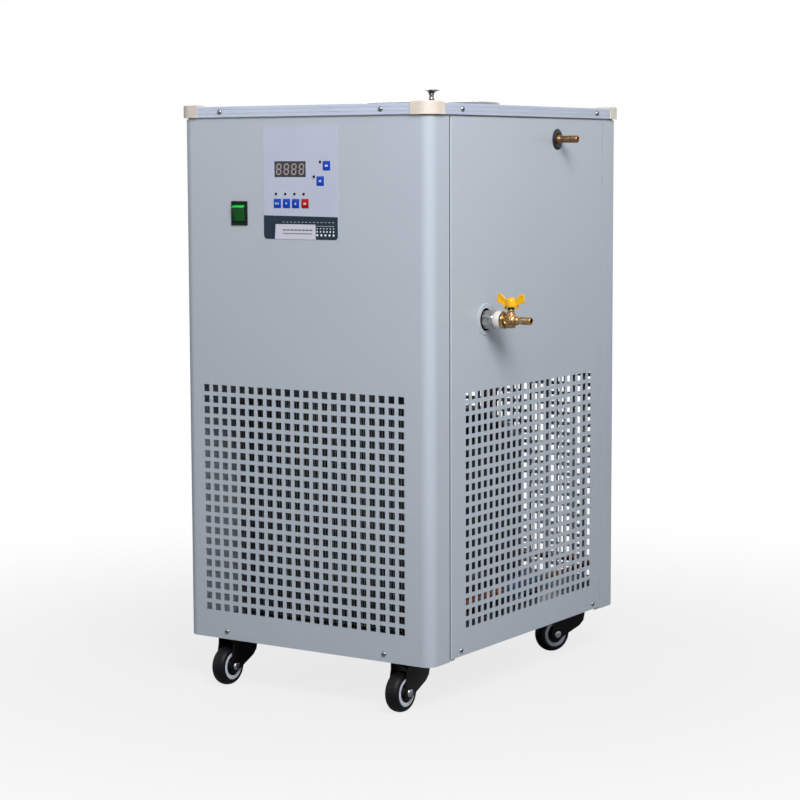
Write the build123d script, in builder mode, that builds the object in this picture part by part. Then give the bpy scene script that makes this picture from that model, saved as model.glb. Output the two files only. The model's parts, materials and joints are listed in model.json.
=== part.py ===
from build123d import *
import os
from math import asin, cos, radians, sin, sqrt

os.makedirs("parts", exist_ok=True)

# A floor-standing recirculating chiller. Millimetres, +Z up, the front faces -Y,
# and the origin is on the floor under the middle of the cabinet.

# Cabinet
width = 370.0
depth = 465.0
skirt = 62.0
panel_top = 718.5
sheet = 1.2
corner_radius = 14.0
front_seam = 41.0
rear_seam = 41.5
seam_gap = 1.6
lap = 12.0
side_lift = 2.5
panel_height = panel_top - skirt
front_y = -depth / 2
rear_y = depth / 2
right_x = width / 2
left_x = -width / 2

# Square vents
vent = 9.0
vent_pitch = 14.0
vent_margin = 27.0
vent_low = 102.0
vent_high = 382.0
front_vent_shift = -4.4
side_vent_shift = 4.1
side_span = depth - front_seam - rear_seam
vent_rows = int((vent_high - vent_low) / vent_pitch + 0.5) + 1
front_columns = int((width - 2 * vent_margin) / vent_pitch)
side_columns = int((side_span - 2 * vent_margin) / vent_pitch)

# Base pan, shelf and top tray, all folded down at the edges
frame_width = width - 4 * sheet
frame_depth = depth - 2 * sheet
frame_radius = corner_radius - sheet
base_sheet = 2.0
base_top = 76.0
base_foot = skirt + 2.0
shelf_top = 405.5
shelf_fold = 16.0
tray_drop = 22.0

# Top trims and corner caps
trim_foot = 720.5
trim_top = 733.5
trim_proud = 2.5
trim_wall = 1.8
trim_lip = 12.5
trim_rib = 1.5
tray_top = trim_top - sheet
cap_wall = 1.2
cap_arm = 30.0
cap_top = 736.0
cap_foot = 720.3
cap_cover = 16.0
trim_end = 18.0

# Cabinet screws
screw_head = 6.6
screw_dome = 2.3
screw_shank = 3.6
screw_length = 7.0
screw_room = 0.2
front_screw_pitch = 240.0
front_screw_shift = -3.3
side_screw_pitch = 335.5
side_screw_shift = 2.3
low_screw_z = 72.0
trim_screw_z = 727.0

# Coolant tank, its lid and its jacket
tank_bore = 160.0
tank_wall = 1.0
tank_depth = 275.0
tank_flange = 8.0
tank_y = 59.5
lid_diameter = 180.0
lid_rim = 8.0
lid_crown = 2.5
lid_wall = 1.2
knob_cap = 21.5
knob_stem = 6.5
knob_base = 9.5
knob_height = 16.5
jacket_side = 236.0
jacket_radius = 20.0
coil_tube = 9.5
coil_pitch = 14.0
coil_turns = 12
coil_foot = 508.0
fit_gap = 0.3
flange_top = tray_top + sheet
tank_radius = tank_bore / 2 + tank_wall
tank_floor = flange_top - tank_depth - tank_wall
coil_radius = tank_radius + fit_gap + coil_tube / 2
coil_top = coil_foot + coil_turns * coil_pitch
cavity_radius = coil_radius + coil_tube / 2 + fit_gap

# Coolant outlet on the right side: coupling, thread tape, ball valve and hose tail
outlet_y = -108.5
outlet_z = 473.0
outlet_hole = 28.0
outlet_ring_od = 40.0
outlet_ring_wall = 1.0
coupling_od = 24.0
coupling_bore = 13.0
coupling_out = 15.5
coupling_in = 34.0
coupling_stub = 16.0
tape_od = 22.8
tape_length = 8.5
valve_hex = 19.8
valve_hex_length = 5.0
valve_od = 17.2
valve_length = 14.0
tail_od = 9.6
tail_length = 21.7
tail_neck = 7.6
tail_bead = 11.0
tail_land = 12.0
tail_chamfer = 0.8
valve_bore = 5.0
ball_radius = 5.8
ball_room = 0.3
stem_od = 4.0
stem_room = 0.05
neck_od = 10.0
neck_top = 15.8
handle_gap = 0.4
handle_hub = 13.2
handle_hub_height = 12.4
wing_span = 38.5
wing_rise = 4.0
wing_wall = 2.6
handle_lug = 17.0
handle_lug_drop = 3.0

# Coolant return on the right side
return_y = 68.5
return_z = 692.6
grommet_od = 26.6
grommet_hole = 20.0
grommet_proud = 2.2
grommet_inner = 24.0
return_out = 30.0
return_in = 22.0
return_cone = 13.0
return_tail_od = 9.3

# Pump on the shelf, in line with the tank outlet and the outlet coupling
pump_x = 0.0
pump_head = 66.0
pump_head_length = 24.0
pump_motor = 62.0
pump_motor_length = 78.0
pump_foot_wall = 3.0
hose_wall = 2.5
stub_od = 12.0
stub_bore = 9.0

# Refrigerant circuit
condenser_width = 305.0
condenser_height = 280.0
condenser_depth = 44.0
condenser_x = -7.5
condenser_front = 85.0
condenser_lift = 4.0
fin_pitch = 4.0
fin_wall = 1.2
fin_depth = 8.0
end_plate = 1.5
bend_tube = 9.5
bend_pitch = 25.0
fan_diameter = 232.0
fan_tip_gap = 4.0
fan_hub = 64.0
fan_hub_length = 22.0
fan_blade_wall = 2.0
fan_blade_count = 5
fan_blade_tilt = 18.0
shroud_wall = 1.5
shroud_throat = 30.0
shroud_arm = 14.0
shroud_arm_wall = 3.0
motor_od = 82.0
motor_length = 58.0
shaft_od = 8.0
shaft_room = 0.05
compressor_x = 38.0
compressor_y = 84.0
compressor_od = 150.0
compressor_height = 250.0
compressor_lift = 12.0
compressor_foot_radius = 20.0
terminal_box = (46.0, 26.0, 50.0)
terminal_box_lift = 30.0
pipe_od = 9.5
thin_pipe_od = 6.35
pipe_bend = 16.0
drier_od = 26.0
drier_length = 96.0
drier_y = -32.0
drier_x = 163.0
drier_z = 121.0

# Rocker switch
switch_x = -95.8
switch_z = 602.3
bezel_width = 24.6
bezel_height = 29.8
bezel_proud = 2.0
switch_body_width = 21.6
switch_body_height = 27.0
switch_body_depth = 24.0
rocker_width = 17.4
rocker_radius = 10.7
rocker_face = 6.3
rocker_tilt = 15.0
rocker_pivot = 2.2
rocker_gap = 0.3
terminal_width = 6.3
terminal_length = 9.0

# Control overlay, display, keys and board
overlay_x = -2.5
overlay_top = 709.0
overlay_width = 111.0
overlay_height = 137.7
overlay_film = 0.4
window_x = -17.8
window_z = 656.35
window_width = 47.2
window_height = 19.3
key_width = 10.6
key_height = 11.0
key_gap = 0.25
key_proud = 0.5
key_depth = 3.2
key_plunger = 3.5
key_travel = 0.5
led_od = 2.8
board_gap = 6.2
board_wall = 1.6
board_width = 104.0
board_height = 80.0
board_z = 640.0
key_row_z = 614.7
led_row_z = 626.3
keys = {
    "mode_key": (-37.3, key_row_z),
    "down_key": (-23.5, key_row_z),
    "up_key": (-9.7, key_row_z),
    "stop_key": (4.4, key_row_z),
    "cooling_key": (36.7, 660.5),
    "pump_key": (27.3, 642.0),
}
leds = [
    (-39.2, led_row_z),
    (-25.1, led_row_z),
    (-11.2, led_row_z),
    (2.5, led_row_z),
    (27.2, 665.0),
    (18.0, 647.3),
]

# Cable gland on the rear cover
gland_x = 120.0
gland_z = 440.0
gland_hex = 22.0
gland_thread = 16.0
gland_bore = 9.0
gland_proud = 21.0
gland_nut = 5.0

# Swivel castors
castor_inset_x = 52.5
castor_inset_y = 38.0
castor_trail = 25.5
wheel_diameter = 50.0
wheel_width = 19.0
wheel_hub_width = 20.6
axle_od = 8.0
axle_room = 0.05
fork_wall = 1.8
fork_top = 66.0
fork_gap = 11.1
fork_back = 22.0
fork_front = 28.0
fork_boss = 9.0
race_radius = 20.0
race_top = 69.3
race_room = 0.4
castor_plate = 46.0
castor_plate_wall = 2.5
kingpin_od = 8.0
castors = {
    "front_left": (-1, -1, -90.0),
    "front_right": (1, -1, -90.0),
    "rear_left": (-1, 1, -102.0),
    "rear_right": (1, 1, -115.0),
}


def screw_spots(pitch, shift, z):
    """Two screw places on a face: across the face, and up it."""
    return [(shift - pitch / 2, z), (shift + pitch / 2, z)]


def cover_plan(side):
    """Plan of a cover bent round both corners and joggled in behind the side panels."""
    seam = front_seam if side < 0 else rear_seam
    edge = side * (depth / 2 - seam)
    with BuildSketch() as plan:
        RectangleRounded(width, depth, corner_radius)
        RectangleRounded(width - 2 * sheet, depth - 2 * sheet, frame_radius, mode=Mode.SUBTRACT)
        with Locations((0, edge - side * depth / 2)):
            Rectangle(width, depth, mode=Mode.SUBTRACT)
        with Locations((0, side * depth / 2)):
            Rectangle(width - 2 * corner_radius, 4 * sheet, mode=Mode.SUBTRACT)
        for hand in (-1, 1):
            with Locations((hand * (right_x - 1.5 * sheet), edge - side * lap / 2)):
                Rectangle(sheet, lap + 2 * sheet)
    return plan.sketch


def vent_grid(columns, shift):
    """Places of a panel's square vents."""
    return [
        (shift + (i - (columns - 1) / 2) * vent_pitch, vent_low + j * vent_pitch)
        for i in range(columns)
        for j in range(vent_rows)
    ]


def crown_middle(reach, edge, top):
    """Middle point of the arc from (reach, edge) up to (0, top), centred on the axis."""
    rise = top - edge
    radius = (reach**2 + rise**2) / (2 * rise)
    half = asin(reach / radius) / 2
    return (radius * sin(half), top - radius + radius * cos(half))


def ring_wall(outer, inner):
    """A round ring in the current sketch."""
    Circle(outer / 2)
    Circle(inner / 2, mode=Mode.SUBTRACT)


# Base pan
castor_spots = [
    (sx * (right_x - castor_inset_x), sy * (rear_y - castor_inset_y))
    for sx, sy, turn in castors.values()
]
with BuildPart() as base_plate:
    with BuildSketch(Plane.XY.offset(base_foot)):
        RectangleRounded(frame_width, frame_depth, frame_radius)
    extrude(amount=base_top - base_foot)
    with BuildSketch(Plane.XY.offset(base_foot)):
        RectangleRounded(
            frame_width - 2 * base_sheet, frame_depth - 2 * base_sheet, frame_radius - base_sheet
        )
    extrude(amount=base_top - base_foot - base_sheet, mode=Mode.SUBTRACT)
    with BuildSketch(Plane.XY.offset(base_top)):
        with Locations(*castor_spots):
            Circle(kingpin_od / 2 + 3)
    extrude(amount=-base_sheet, mode=Mode.SUBTRACT)
    with BuildSketch(Plane.XZ):
        with Locations(*screw_spots(front_screw_pitch, front_screw_shift, low_screw_z)):
            Circle(screw_shank / 2 + screw_room)
    extrude(amount=depth, both=True, mode=Mode.SUBTRACT)
    with BuildSketch(Plane.YZ):
        with Locations(*screw_spots(side_screw_pitch, side_screw_shift, low_screw_z)):
            Circle(screw_shank / 2 + screw_room)
    extrude(amount=width, both=True, mode=Mode.SUBTRACT)
base_plate.part.label = "base_plate"
export_step(base_plate.part, "parts/base_plate.step")

# Front cover: flat face with vents and openings, then the bent corners and laps
with BuildPart() as front_cover:
    with BuildSketch(Plane.XZ.offset(depth / 2)):
        with Locations((0, skirt + panel_height / 2)):
            Rectangle(width - 2 * corner_radius, panel_height)
        with Locations(*vent_grid(front_columns, front_vent_shift)):
            Rectangle(vent, vent, mode=Mode.SUBTRACT)
        with Locations((switch_x, switch_z)):
            Rectangle(
                switch_body_width + 2 * fit_gap, switch_body_height + 2 * fit_gap, mode=Mode.SUBTRACT
            )
        with Locations((window_x, window_z)):
            Rectangle(window_width + 2 * fit_gap, window_height + 2 * fit_gap, mode=Mode.SUBTRACT)
        with Locations(*keys.values()):
            Rectangle(key_width + 2 * key_gap, key_height + 2 * key_gap, mode=Mode.SUBTRACT)
        with Locations(*leds):
            Circle(led_od / 2 + fit_gap, mode=Mode.SUBTRACT)
        with Locations(*screw_spots(front_screw_pitch, front_screw_shift, low_screw_z)):
            Circle(screw_shank / 2 + screw_room, mode=Mode.SUBTRACT)
    extrude(amount=-sheet, clean=False)
    with BuildSketch(Plane.XY.offset(skirt)):
        add(cover_plan(-1))
    extrude(amount=panel_height, clean=False)
front_cover.part.label = "front_cover"
export_step(front_cover.part, "parts/front_cover.step")

# Rear cover: the same sheet, with the cable gland's hole
with BuildPart() as rear_cover:
    with BuildSketch(Plane.XZ.offset(sheet - depth / 2)):
        with Locations((0, skirt + panel_height / 2)):
            Rectangle(width - 2 * corner_radius, panel_height)
        with Locations(*vent_grid(front_columns, front_vent_shift)):
            Rectangle(vent, vent, mode=Mode.SUBTRACT)
        with Locations((gland_x, gland_z)):
            Circle(gland_thread / 2 + fit_gap, mode=Mode.SUBTRACT)
        with Locations(*screw_spots(front_screw_pitch, front_screw_shift, low_screw_z)):
            Circle(screw_shank / 2 + screw_room, mode=Mode.SUBTRACT)
    extrude(amount=-sheet, clean=False)
    with BuildSketch(Plane.XY.offset(skirt)):
        add(cover_plan(1))
    extrude(amount=panel_height, clean=False)
rear_cover.part.label = "rear_cover"
export_step(rear_cover.part, "parts/rear_cover.step")

# Side panels: flat sheets between the two covers' seams, the right one perforated
side_panel_length = side_span - 2 * seam_gap
side_panel_y = (front_seam - rear_seam) / 2
side_panel_height = panel_height - side_lift
with BuildPart() as right_side_panel:
    with BuildSketch(Plane.YZ.offset(right_x - sheet)):
        with Locations((side_panel_y, skirt + side_lift + side_panel_height / 2)):
            Rectangle(side_panel_length, side_panel_height)
        with Locations(*vent_grid(side_columns, side_vent_shift)):
            Rectangle(vent, vent, mode=Mode.SUBTRACT)
        with Locations((outlet_y, outlet_z)):
            Circle(outlet_hole / 2, mode=Mode.SUBTRACT)
        with Locations((return_y, return_z)):
            Circle(grommet_hole / 2, mode=Mode.SUBTRACT)
        with Locations(*screw_spots(side_screw_pitch, side_screw_shift, low_screw_z)):
            Circle(screw_shank / 2 + screw_room, mode=Mode.SUBTRACT)
    extrude(amount=sheet, clean=False)
right_side_panel.part.label = "right_side_panel"
export_step(right_side_panel.part, "parts/right_side_panel.step")

with BuildPart() as left_side_panel:
    with BuildSketch(Plane.YZ.offset(left_x)):
        with Locations((side_panel_y, skirt + side_lift + side_panel_height / 2)):
            Rectangle(side_panel_length, side_panel_height)
        with Locations(*screw_spots(side_screw_pitch, side_screw_shift, low_screw_z)):
            Circle(screw_shank / 2 + screw_room, mode=Mode.SUBTRACT)
    extrude(amount=sheet, clean=False)
left_side_panel.part.label = "left_side_panel"
export_step(left_side_panel.part, "parts/left_side_panel.step")

# Top tray with the tank's opening
with BuildPart() as top_plate:
    with BuildSketch(Plane.XY.offset(tray_top)):
        RectangleRounded(frame_width, frame_depth, frame_radius)
    extrude(amount=-tray_drop)
    with BuildSketch(Plane.XY.offset(tray_top - sheet)):
        RectangleRounded(
            frame_width - 2 * sheet, frame_depth - 2 * sheet, frame_radius - sheet
        )
    extrude(amount=-tray_drop, mode=Mode.SUBTRACT)
    with BuildSketch(Plane.XY.offset(tray_top)):
        with Locations((0, tank_y)):
            Circle(tank_radius + fit_gap)
    extrude(amount=-sheet, mode=Mode.SUBTRACT)
    with BuildSketch(Plane.XZ):
        with Locations(*screw_spots(front_screw_pitch, front_screw_shift, trim_screw_z)):
            Circle(screw_shank / 2 + screw_room)
    extrude(amount=depth, both=True, mode=Mode.SUBTRACT)
    with BuildSketch(Plane.YZ):
        with Locations(*screw_spots(side_screw_pitch, side_screw_shift, trim_screw_z)):
            Circle(screw_shank / 2 + screw_room)
    extrude(amount=width, both=True, mode=Mode.SUBTRACT)
top_plate.part.label = "top_plate"
export_step(top_plate.part, "parts/top_plate.step")


def trim_section(outer, inner):
    """Section of a top trim: leg outside, lip over the tray and a rib at the foot."""
    with BuildSketch() as section:
        with BuildLine():
            Polyline(
                (outer, trim_foot),
                (outer, trim_top),
                (outer - trim_lip, trim_top),
                (outer - trim_lip, tray_top),
                (outer - trim_wall, tray_top),
                (outer - trim_wall, trim_foot + trim_rib),
                (inner, trim_foot + trim_rib),
                (inner, trim_foot),
                close=True,
            )
        make_face()
    return section.sketch


# Top trims: an aluminium strip along each edge
with BuildPart() as front_rear_trims:
    with BuildSketch(Plane.YZ.offset(trim_end - right_x)):
        add(trim_section(rear_y + trim_proud, frame_depth / 2))
    extrude(amount=width - 2 * trim_end)
    mirror(about=Plane.XZ)
    with BuildSketch(Plane.XZ):
        with Locations(*screw_spots(front_screw_pitch, front_screw_shift, trim_screw_z)):
            Circle(screw_shank / 2 + screw_room)
    extrude(amount=depth, both=True, mode=Mode.SUBTRACT)
front_rear_trims.part.label = "front_rear_trims"
export_step(front_rear_trims.part, "parts/front_rear_trims.step")

with BuildPart() as side_trims:
    with BuildSketch(Plane.XZ.offset(trim_end - rear_y)):
        add(trim_section(right_x + trim_proud, frame_width / 2))
    extrude(amount=depth - 2 * trim_end)
    mirror(about=Plane.YZ)
    with BuildSketch(Plane.YZ):
        with Locations(*screw_spots(side_screw_pitch, side_screw_shift, trim_screw_z)):
            Circle(screw_shank / 2 + screw_room)
    extrude(amount=width, both=True, mode=Mode.SUBTRACT)
side_trims.part.label = "side_trims"
export_step(side_trims.part, "parts/side_trims.step")

# Corner caps: a rounded wall outside the trims and a cover over their ends
cap_out = trim_proud + cap_wall
with BuildPart() as corner_caps:
    with BuildSketch(Plane.XY.offset(cap_foot)):
        RectangleRounded(width + 2 * cap_out, depth + 2 * cap_out, corner_radius + cap_out)
    extrude(amount=cap_top - cap_foot)
    fillet(corner_caps.faces().sort_by(Axis.Z)[-1].edges(), 1.5)
    with BuildSketch(Plane.XY.offset(cap_foot)):
        RectangleRounded(width + 2 * trim_proud, depth + 2 * trim_proud, corner_radius + trim_proud)
    extrude(amount=trim_top - cap_foot, mode=Mode.SUBTRACT)
    with BuildSketch(Plane.XY.offset(cap_foot)):
        RectangleRounded(
            width + 2 * cap_out - 2 * cap_cover, depth + 2 * cap_out - 2 * cap_cover, 4
        )
        Rectangle(width + 2 * cap_out - 2 * cap_arm, depth + 4 * cap_out)
        Rectangle(width + 4 * cap_out, depth + 2 * cap_out - 2 * cap_arm)
    extrude(amount=cap_top, mode=Mode.SUBTRACT)
corner_caps.part.label = "corner_caps"
export_step(corner_caps.part, "parts/corner_caps.step")


def screw_profile():
    """Half section of a pan head screw on the Z axis, its seat at height zero."""
    with BuildSketch(Plane.XZ) as profile:
        with BuildLine():
            Polyline(
                (0, screw_dome),
                (0, -screw_length),
                (screw_shank / 2, -screw_length),
                (screw_shank / 2, 0),
                (screw_head / 2, 0),
                (screw_head / 2, 0.3 * screw_dome),
            )
            ThreePointArc(
                (screw_head / 2, 0.3 * screw_dome),
                crown_middle(screw_head / 2, 0.3 * screw_dome, screw_dome),
                (0, screw_dome),
            )
        make_face()
    return profile.sketch


screw_seats = []
for spread in (-front_screw_pitch / 2, front_screw_pitch / 2):
    across = front_screw_shift + spread
    for turn in (-1, 1):
        seat = Vector(across, turn * rear_y, low_screw_z)
        screw_seats.append(Plane(seat, x_dir=(1, 0, 0), z_dir=(0, turn, 0)))
        seat = Vector(across, turn * (rear_y + trim_proud), trim_screw_z)
        screw_seats.append(Plane(seat, x_dir=(1, 0, 0), z_dir=(0, turn, 0)))
for spread in (-side_screw_pitch / 2, side_screw_pitch / 2):
    across = side_screw_shift + spread
    for turn in (-1, 1):
        seat = Vector(turn * right_x, across, low_screw_z)
        screw_seats.append(Plane(seat, x_dir=(0, 1, 0), z_dir=(turn, 0, 0)))
        seat = Vector(turn * (right_x + trim_proud), across, trim_screw_z)
        screw_seats.append(Plane(seat, x_dir=(0, 1, 0), z_dir=(turn, 0, 0)))

with BuildPart() as one_screw:
    add(screw_profile())
    revolve(axis=Axis.Z)
    with BuildSketch(Plane.XY.offset(screw_dome)):
        Rectangle(0.55 * screw_head, 0.16 * screw_head)
        Rectangle(0.16 * screw_head, 0.55 * screw_head)
    extrude(amount=-0.55 * screw_dome, mode=Mode.SUBTRACT)

with BuildPart() as cabinet_screws:
    for seat in screw_seats:
        with Locations(seat):
            add(one_screw.part)
cabinet_screws.part.label = "cabinet_screws"
export_step(cabinet_screws.part, "parts/cabinet_screws.step")

# Middle shelf between the refrigeration bay and the tank bay
line_y = (frame_depth / 2 - 33.0, frame_depth / 2 - 17.0)
with BuildPart() as middle_shelf:
    with BuildSketch(Plane.XY.offset(shelf_top)):
        RectangleRounded(frame_width, frame_depth, frame_radius)
    extrude(amount=-shelf_fold)
    with BuildSketch(Plane.XY.offset(shelf_top - sheet)):
        RectangleRounded(
            frame_width - 2 * sheet, frame_depth - 2 * sheet, frame_radius - sheet
        )
    extrude(amount=-shelf_fold, mode=Mode.SUBTRACT)
    with BuildSketch(Plane.XY.offset(shelf_top)):
        with Locations(*[(0, y) for y in line_y]):
            Circle(pipe_od / 2 + 1.5)
    extrude(amount=-sheet, mode=Mode.SUBTRACT)
middle_shelf.part.label = "middle_shelf"
export_step(middle_shelf.part, "parts/middle_shelf.step")

# Coolant tank: a drawn pot with a flange on the tray and two welded stubs
stub_z = outlet_z
jacket_front = tank_y - jacket_side / 2
jacket_right = jacket_side / 2
stub_front = jacket_front - 14.0
stub_right = jacket_right + 14.0
with BuildPart() as tank:
    with BuildSketch(Plane.XY.offset(tank_floor)):
        with Locations((0, tank_y)):
            Circle(tank_radius)
    extrude(amount=flange_top - tank_floor)
    with BuildSketch(Plane.XY.offset(tray_top)):
        with Locations((0, tank_y)):
            Circle(tank_radius + tank_flange)
    extrude(amount=sheet)
    with BuildSketch(Plane.XZ.offset(-tank_y)):
        with Locations((0, stub_z)):
            Circle(stub_od / 2)
    extrude(amount=tank_y - stub_front)
    with BuildSketch(Plane.YZ):
        with Locations((return_y, return_z)):
            Circle(stub_od / 2)
    extrude(amount=stub_right)
    with BuildSketch(Plane.XY.offset(tank_floor + tank_wall)):
        with Locations((0, tank_y)):
            Circle(tank_bore / 2)
    extrude(amount=tank_depth, mode=Mode.SUBTRACT)
    with BuildSketch(Plane.XZ.offset(-tank_y)):
        with Locations((0, stub_z)):
            Circle(stub_bore / 2)
    extrude(amount=tank_y - stub_front, mode=Mode.SUBTRACT)
    with BuildSketch(Plane.YZ):
        with Locations((return_y, return_z)):
            Circle(stub_bore / 2)
    extrude(amount=stub_right, mode=Mode.SUBTRACT)
tank.part.label = "tank"
export_step(tank.part, "parts/tank.step")

# Insulation jacket: foam blocks round the tank and its coil, with holes for the pipes
with BuildPart() as insulation_jacket:
    with BuildSketch(Plane.XY.offset(shelf_top)):
        with Locations((0, tank_y)):
            RectangleRounded(jacket_side, jacket_side, jacket_radius)
    extrude(amount=tray_top - sheet - shelf_top)
    with BuildSketch(Plane.XY.offset(tank_floor)):
        with Locations((0, tank_y)):
            Circle(cavity_radius)
    extrude(amount=tray_top - tank_floor, mode=Mode.SUBTRACT)
    with BuildSketch(Plane.XZ.offset(-tank_y)):
        with Locations((0, stub_z)):
            Circle(stub_od / 2 + fit_gap)
    extrude(amount=tank_y - jacket_front, mode=Mode.SUBTRACT)
    with BuildSketch(Plane.YZ):
        with Locations((return_y, return_z)):
            Circle(stub_od / 2 + fit_gap)
    extrude(amount=jacket_right, mode=Mode.SUBTRACT)
    with BuildSketch(Plane.XZ.offset(-tank_y)):
        with Locations((0, coil_foot), (0, coil_top)):
            Circle(pipe_od / 2 + fit_gap)
    extrude(amount=-jacket_side, mode=Mode.SUBTRACT)
insulation_jacket.part.label = "insulation_jacket"
export_step(insulation_jacket.part, "parts/insulation_jacket.step")

# Lid: a spun disc with a turned down rim that rests on the tank's flange
lid_top = flange_top + lid_rim
lid_inside = lid_diameter / 2 - lid_wall
lid_shoulder = lid_diameter / 2 - lid_wall / 2
with BuildPart() as tank_lid:
    with BuildSketch(Plane.XZ.offset(-tank_y)):
        with BuildLine():
            Line((0, lid_top + lid_crown), (0, lid_top + lid_crown - lid_wall))
            ThreePointArc(
                (0, lid_top + lid_crown - lid_wall),
                crown_middle(lid_inside, lid_top - lid_wall, lid_top + lid_crown - lid_wall),
                (lid_inside, lid_top - lid_wall),
            )
            Polyline(
                (lid_inside, lid_top - lid_wall),
                (lid_inside, flange_top),
                (lid_diameter / 2, flange_top),
                (lid_diameter / 2, lid_top - lid_wall / 2),
                (lid_shoulder, lid_top),
            )
            ThreePointArc(
                (lid_shoulder, lid_top),
                crown_middle(lid_shoulder, lid_top, lid_top + lid_crown),
                (0, lid_top + lid_crown),
            )
        make_face()
    revolve(axis=Axis((0, tank_y, 0), (0, 0, 1)))
tank_lid.part.label = "tank_lid"
export_step(tank_lid.part, "parts/tank_lid.step")

# Lid knob: a turned mushroom with a waisted stem
knob_foot = lid_top + lid_crown
with BuildPart() as lid_knob:
    with BuildSketch(Plane.XZ.offset(-tank_y)):
        with BuildLine():
            Polyline(
                (0, knob_foot + knob_height),
                (0, knob_foot),
                (knob_base / 2, knob_foot),
                (knob_base / 2, knob_foot + 0.08 * knob_height),
            )
            ThreePointArc(
                (knob_base / 2, knob_foot + 0.08 * knob_height),
                (knob_stem / 2 - 0.2, knob_foot + 0.34 * knob_height),
                (knob_stem / 2 + 0.6, knob_foot + 0.6 * knob_height),
            )
            ThreePointArc(
                (knob_stem / 2 + 0.6, knob_foot + 0.6 * knob_height),
                (0.33 * knob_cap, knob_foot + 0.79 * knob_height),
                (knob_cap / 2, knob_foot + 0.84 * knob_height),
            )
            Line(
                (knob_cap / 2, knob_foot + 0.84 * knob_height),
                (knob_cap / 2, knob_foot + 0.87 * knob_height),
            )
            ThreePointArc(
                (knob_cap / 2, knob_foot + 0.87 * knob_height),
                crown_middle(
                    knob_cap / 2, knob_foot + 0.87 * knob_height, knob_foot + knob_height
                ),
                (0, knob_foot + knob_height),
            )
        make_face()
    revolve(axis=Axis((0, tank_y, 0), (0, 0, 1)))
lid_knob.part.label = "lid_knob"
export_step(lid_knob.part, "parts/lid_knob.step")

# Evaporator coil wound round the tank
with BuildPart() as evaporator_coil:
    with BuildLine(Plane((0, tank_y, coil_foot), x_dir=(0, 1, 0), z_dir=(0, 0, 1))):
        turns = Helix(coil_pitch, coil_top - coil_foot, coil_radius)
    with BuildSketch(Plane(turns @ 0, z_dir=turns % 0)):
        Circle(coil_tube / 2)
    sweep(path=turns, is_frenet=True)
evaporator_coil.part.label = "evaporator_coil"
export_step(evaporator_coil.part, "parts/evaporator_coil.step")


def pipe_along(points, bend, od):
    """A pipe of straight runs and tangent bends, as a solid."""
    with BuildPart() as pipe:
        with BuildLine() as route:
            FilletPolyline(*points, radius=bend)
        with BuildSketch(Plane(route.line @ 0, z_dir=route.line % 0)):
            Circle(od / 2)
        sweep(path=route.line)
    return pipe.part


# Compressor: two drawn shells welded at the middle, on a foot plate and rubber feet
compressor_foot = base_top + compressor_lift
compressor_mid = compressor_foot + compressor_height / 2
compressor_radius = compressor_od / 2
compressor_dome = 0.26 * compressor_od
weld_lip = 3.0
foot_wall = 3.0
suction_port_z = compressor_foot + 0.82 * compressor_height
discharge_port_x = compressor_x - 0.6 * compressor_radius
discharge_port_z = compressor_foot + 0.75 * compressor_height
port_length = 12.0
with BuildPart() as compressor:
    with BuildSketch(Plane((compressor_x, compressor_y, 0), x_dir=(1, 0, 0), z_dir=(0, -1, 0))):
        with BuildLine():
            Polyline(
                (0, compressor_foot + compressor_height),
                (0, compressor_foot),
                (0.7 * compressor_radius, compressor_foot),
            )
            ThreePointArc(
                (0.7 * compressor_radius, compressor_foot),
                (0.93 * compressor_radius, compressor_foot + 0.2 * compressor_dome),
                (compressor_radius, compressor_foot + compressor_dome),
            )
            Polyline(
                (compressor_radius, compressor_foot + compressor_dome),
                (compressor_radius, compressor_mid - weld_lip),
                (compressor_radius + weld_lip, compressor_mid - weld_lip),
                (compressor_radius + weld_lip, compressor_mid),
                (compressor_radius, compressor_mid),
                (compressor_radius, compressor_foot + compressor_height - compressor_dome),
            )
            ThreePointArc(
                (compressor_radius, compressor_foot + compressor_height - compressor_dome),
                crown_middle(
                    compressor_radius,
                    compressor_foot + compressor_height - compressor_dome,
                    compressor_foot + compressor_height,
                ),
                (0, compressor_foot + compressor_height),
            )
        make_face()
    revolve(axis=Axis((compressor_x, compressor_y, 0), (0, 0, 1)))
    with BuildSketch(Plane.XY.offset(compressor_foot)):
        with Locations((compressor_x, compressor_y)):
            RectangleRounded(1.04 * compressor_od, 1.04 * compressor_od, compressor_foot_radius)
    extrude(amount=foot_wall)
    with BuildSketch(Plane.XY.offset(base_top)):
        with Locations((compressor_x, compressor_y)):
            with GridLocations(0.84 * compressor_od, 0.84 * compressor_od, 2, 2):
                Circle(0.08 * compressor_od)
    extrude(amount=compressor_lift)
    with Locations(
        (compressor_x, compressor_y - compressor_radius, compressor_mid + terminal_box_lift)
    ):
        Box(*terminal_box)
    with BuildSketch(Plane.XZ.offset(-compressor_y)):
        with Locations((compressor_x, suction_port_z)):
            Circle(pipe_od / 2)
    extrude(amount=-(compressor_radius + port_length))
    with BuildSketch(Plane.XZ.offset(-compressor_y)):
        with Locations((discharge_port_x, discharge_port_z)):
            Circle(pipe_od / 2)
    extrude(amount=compressor_radius)
compressor.part.label = "compressor"
export_step(compressor.part, "parts/compressor.step")

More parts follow.
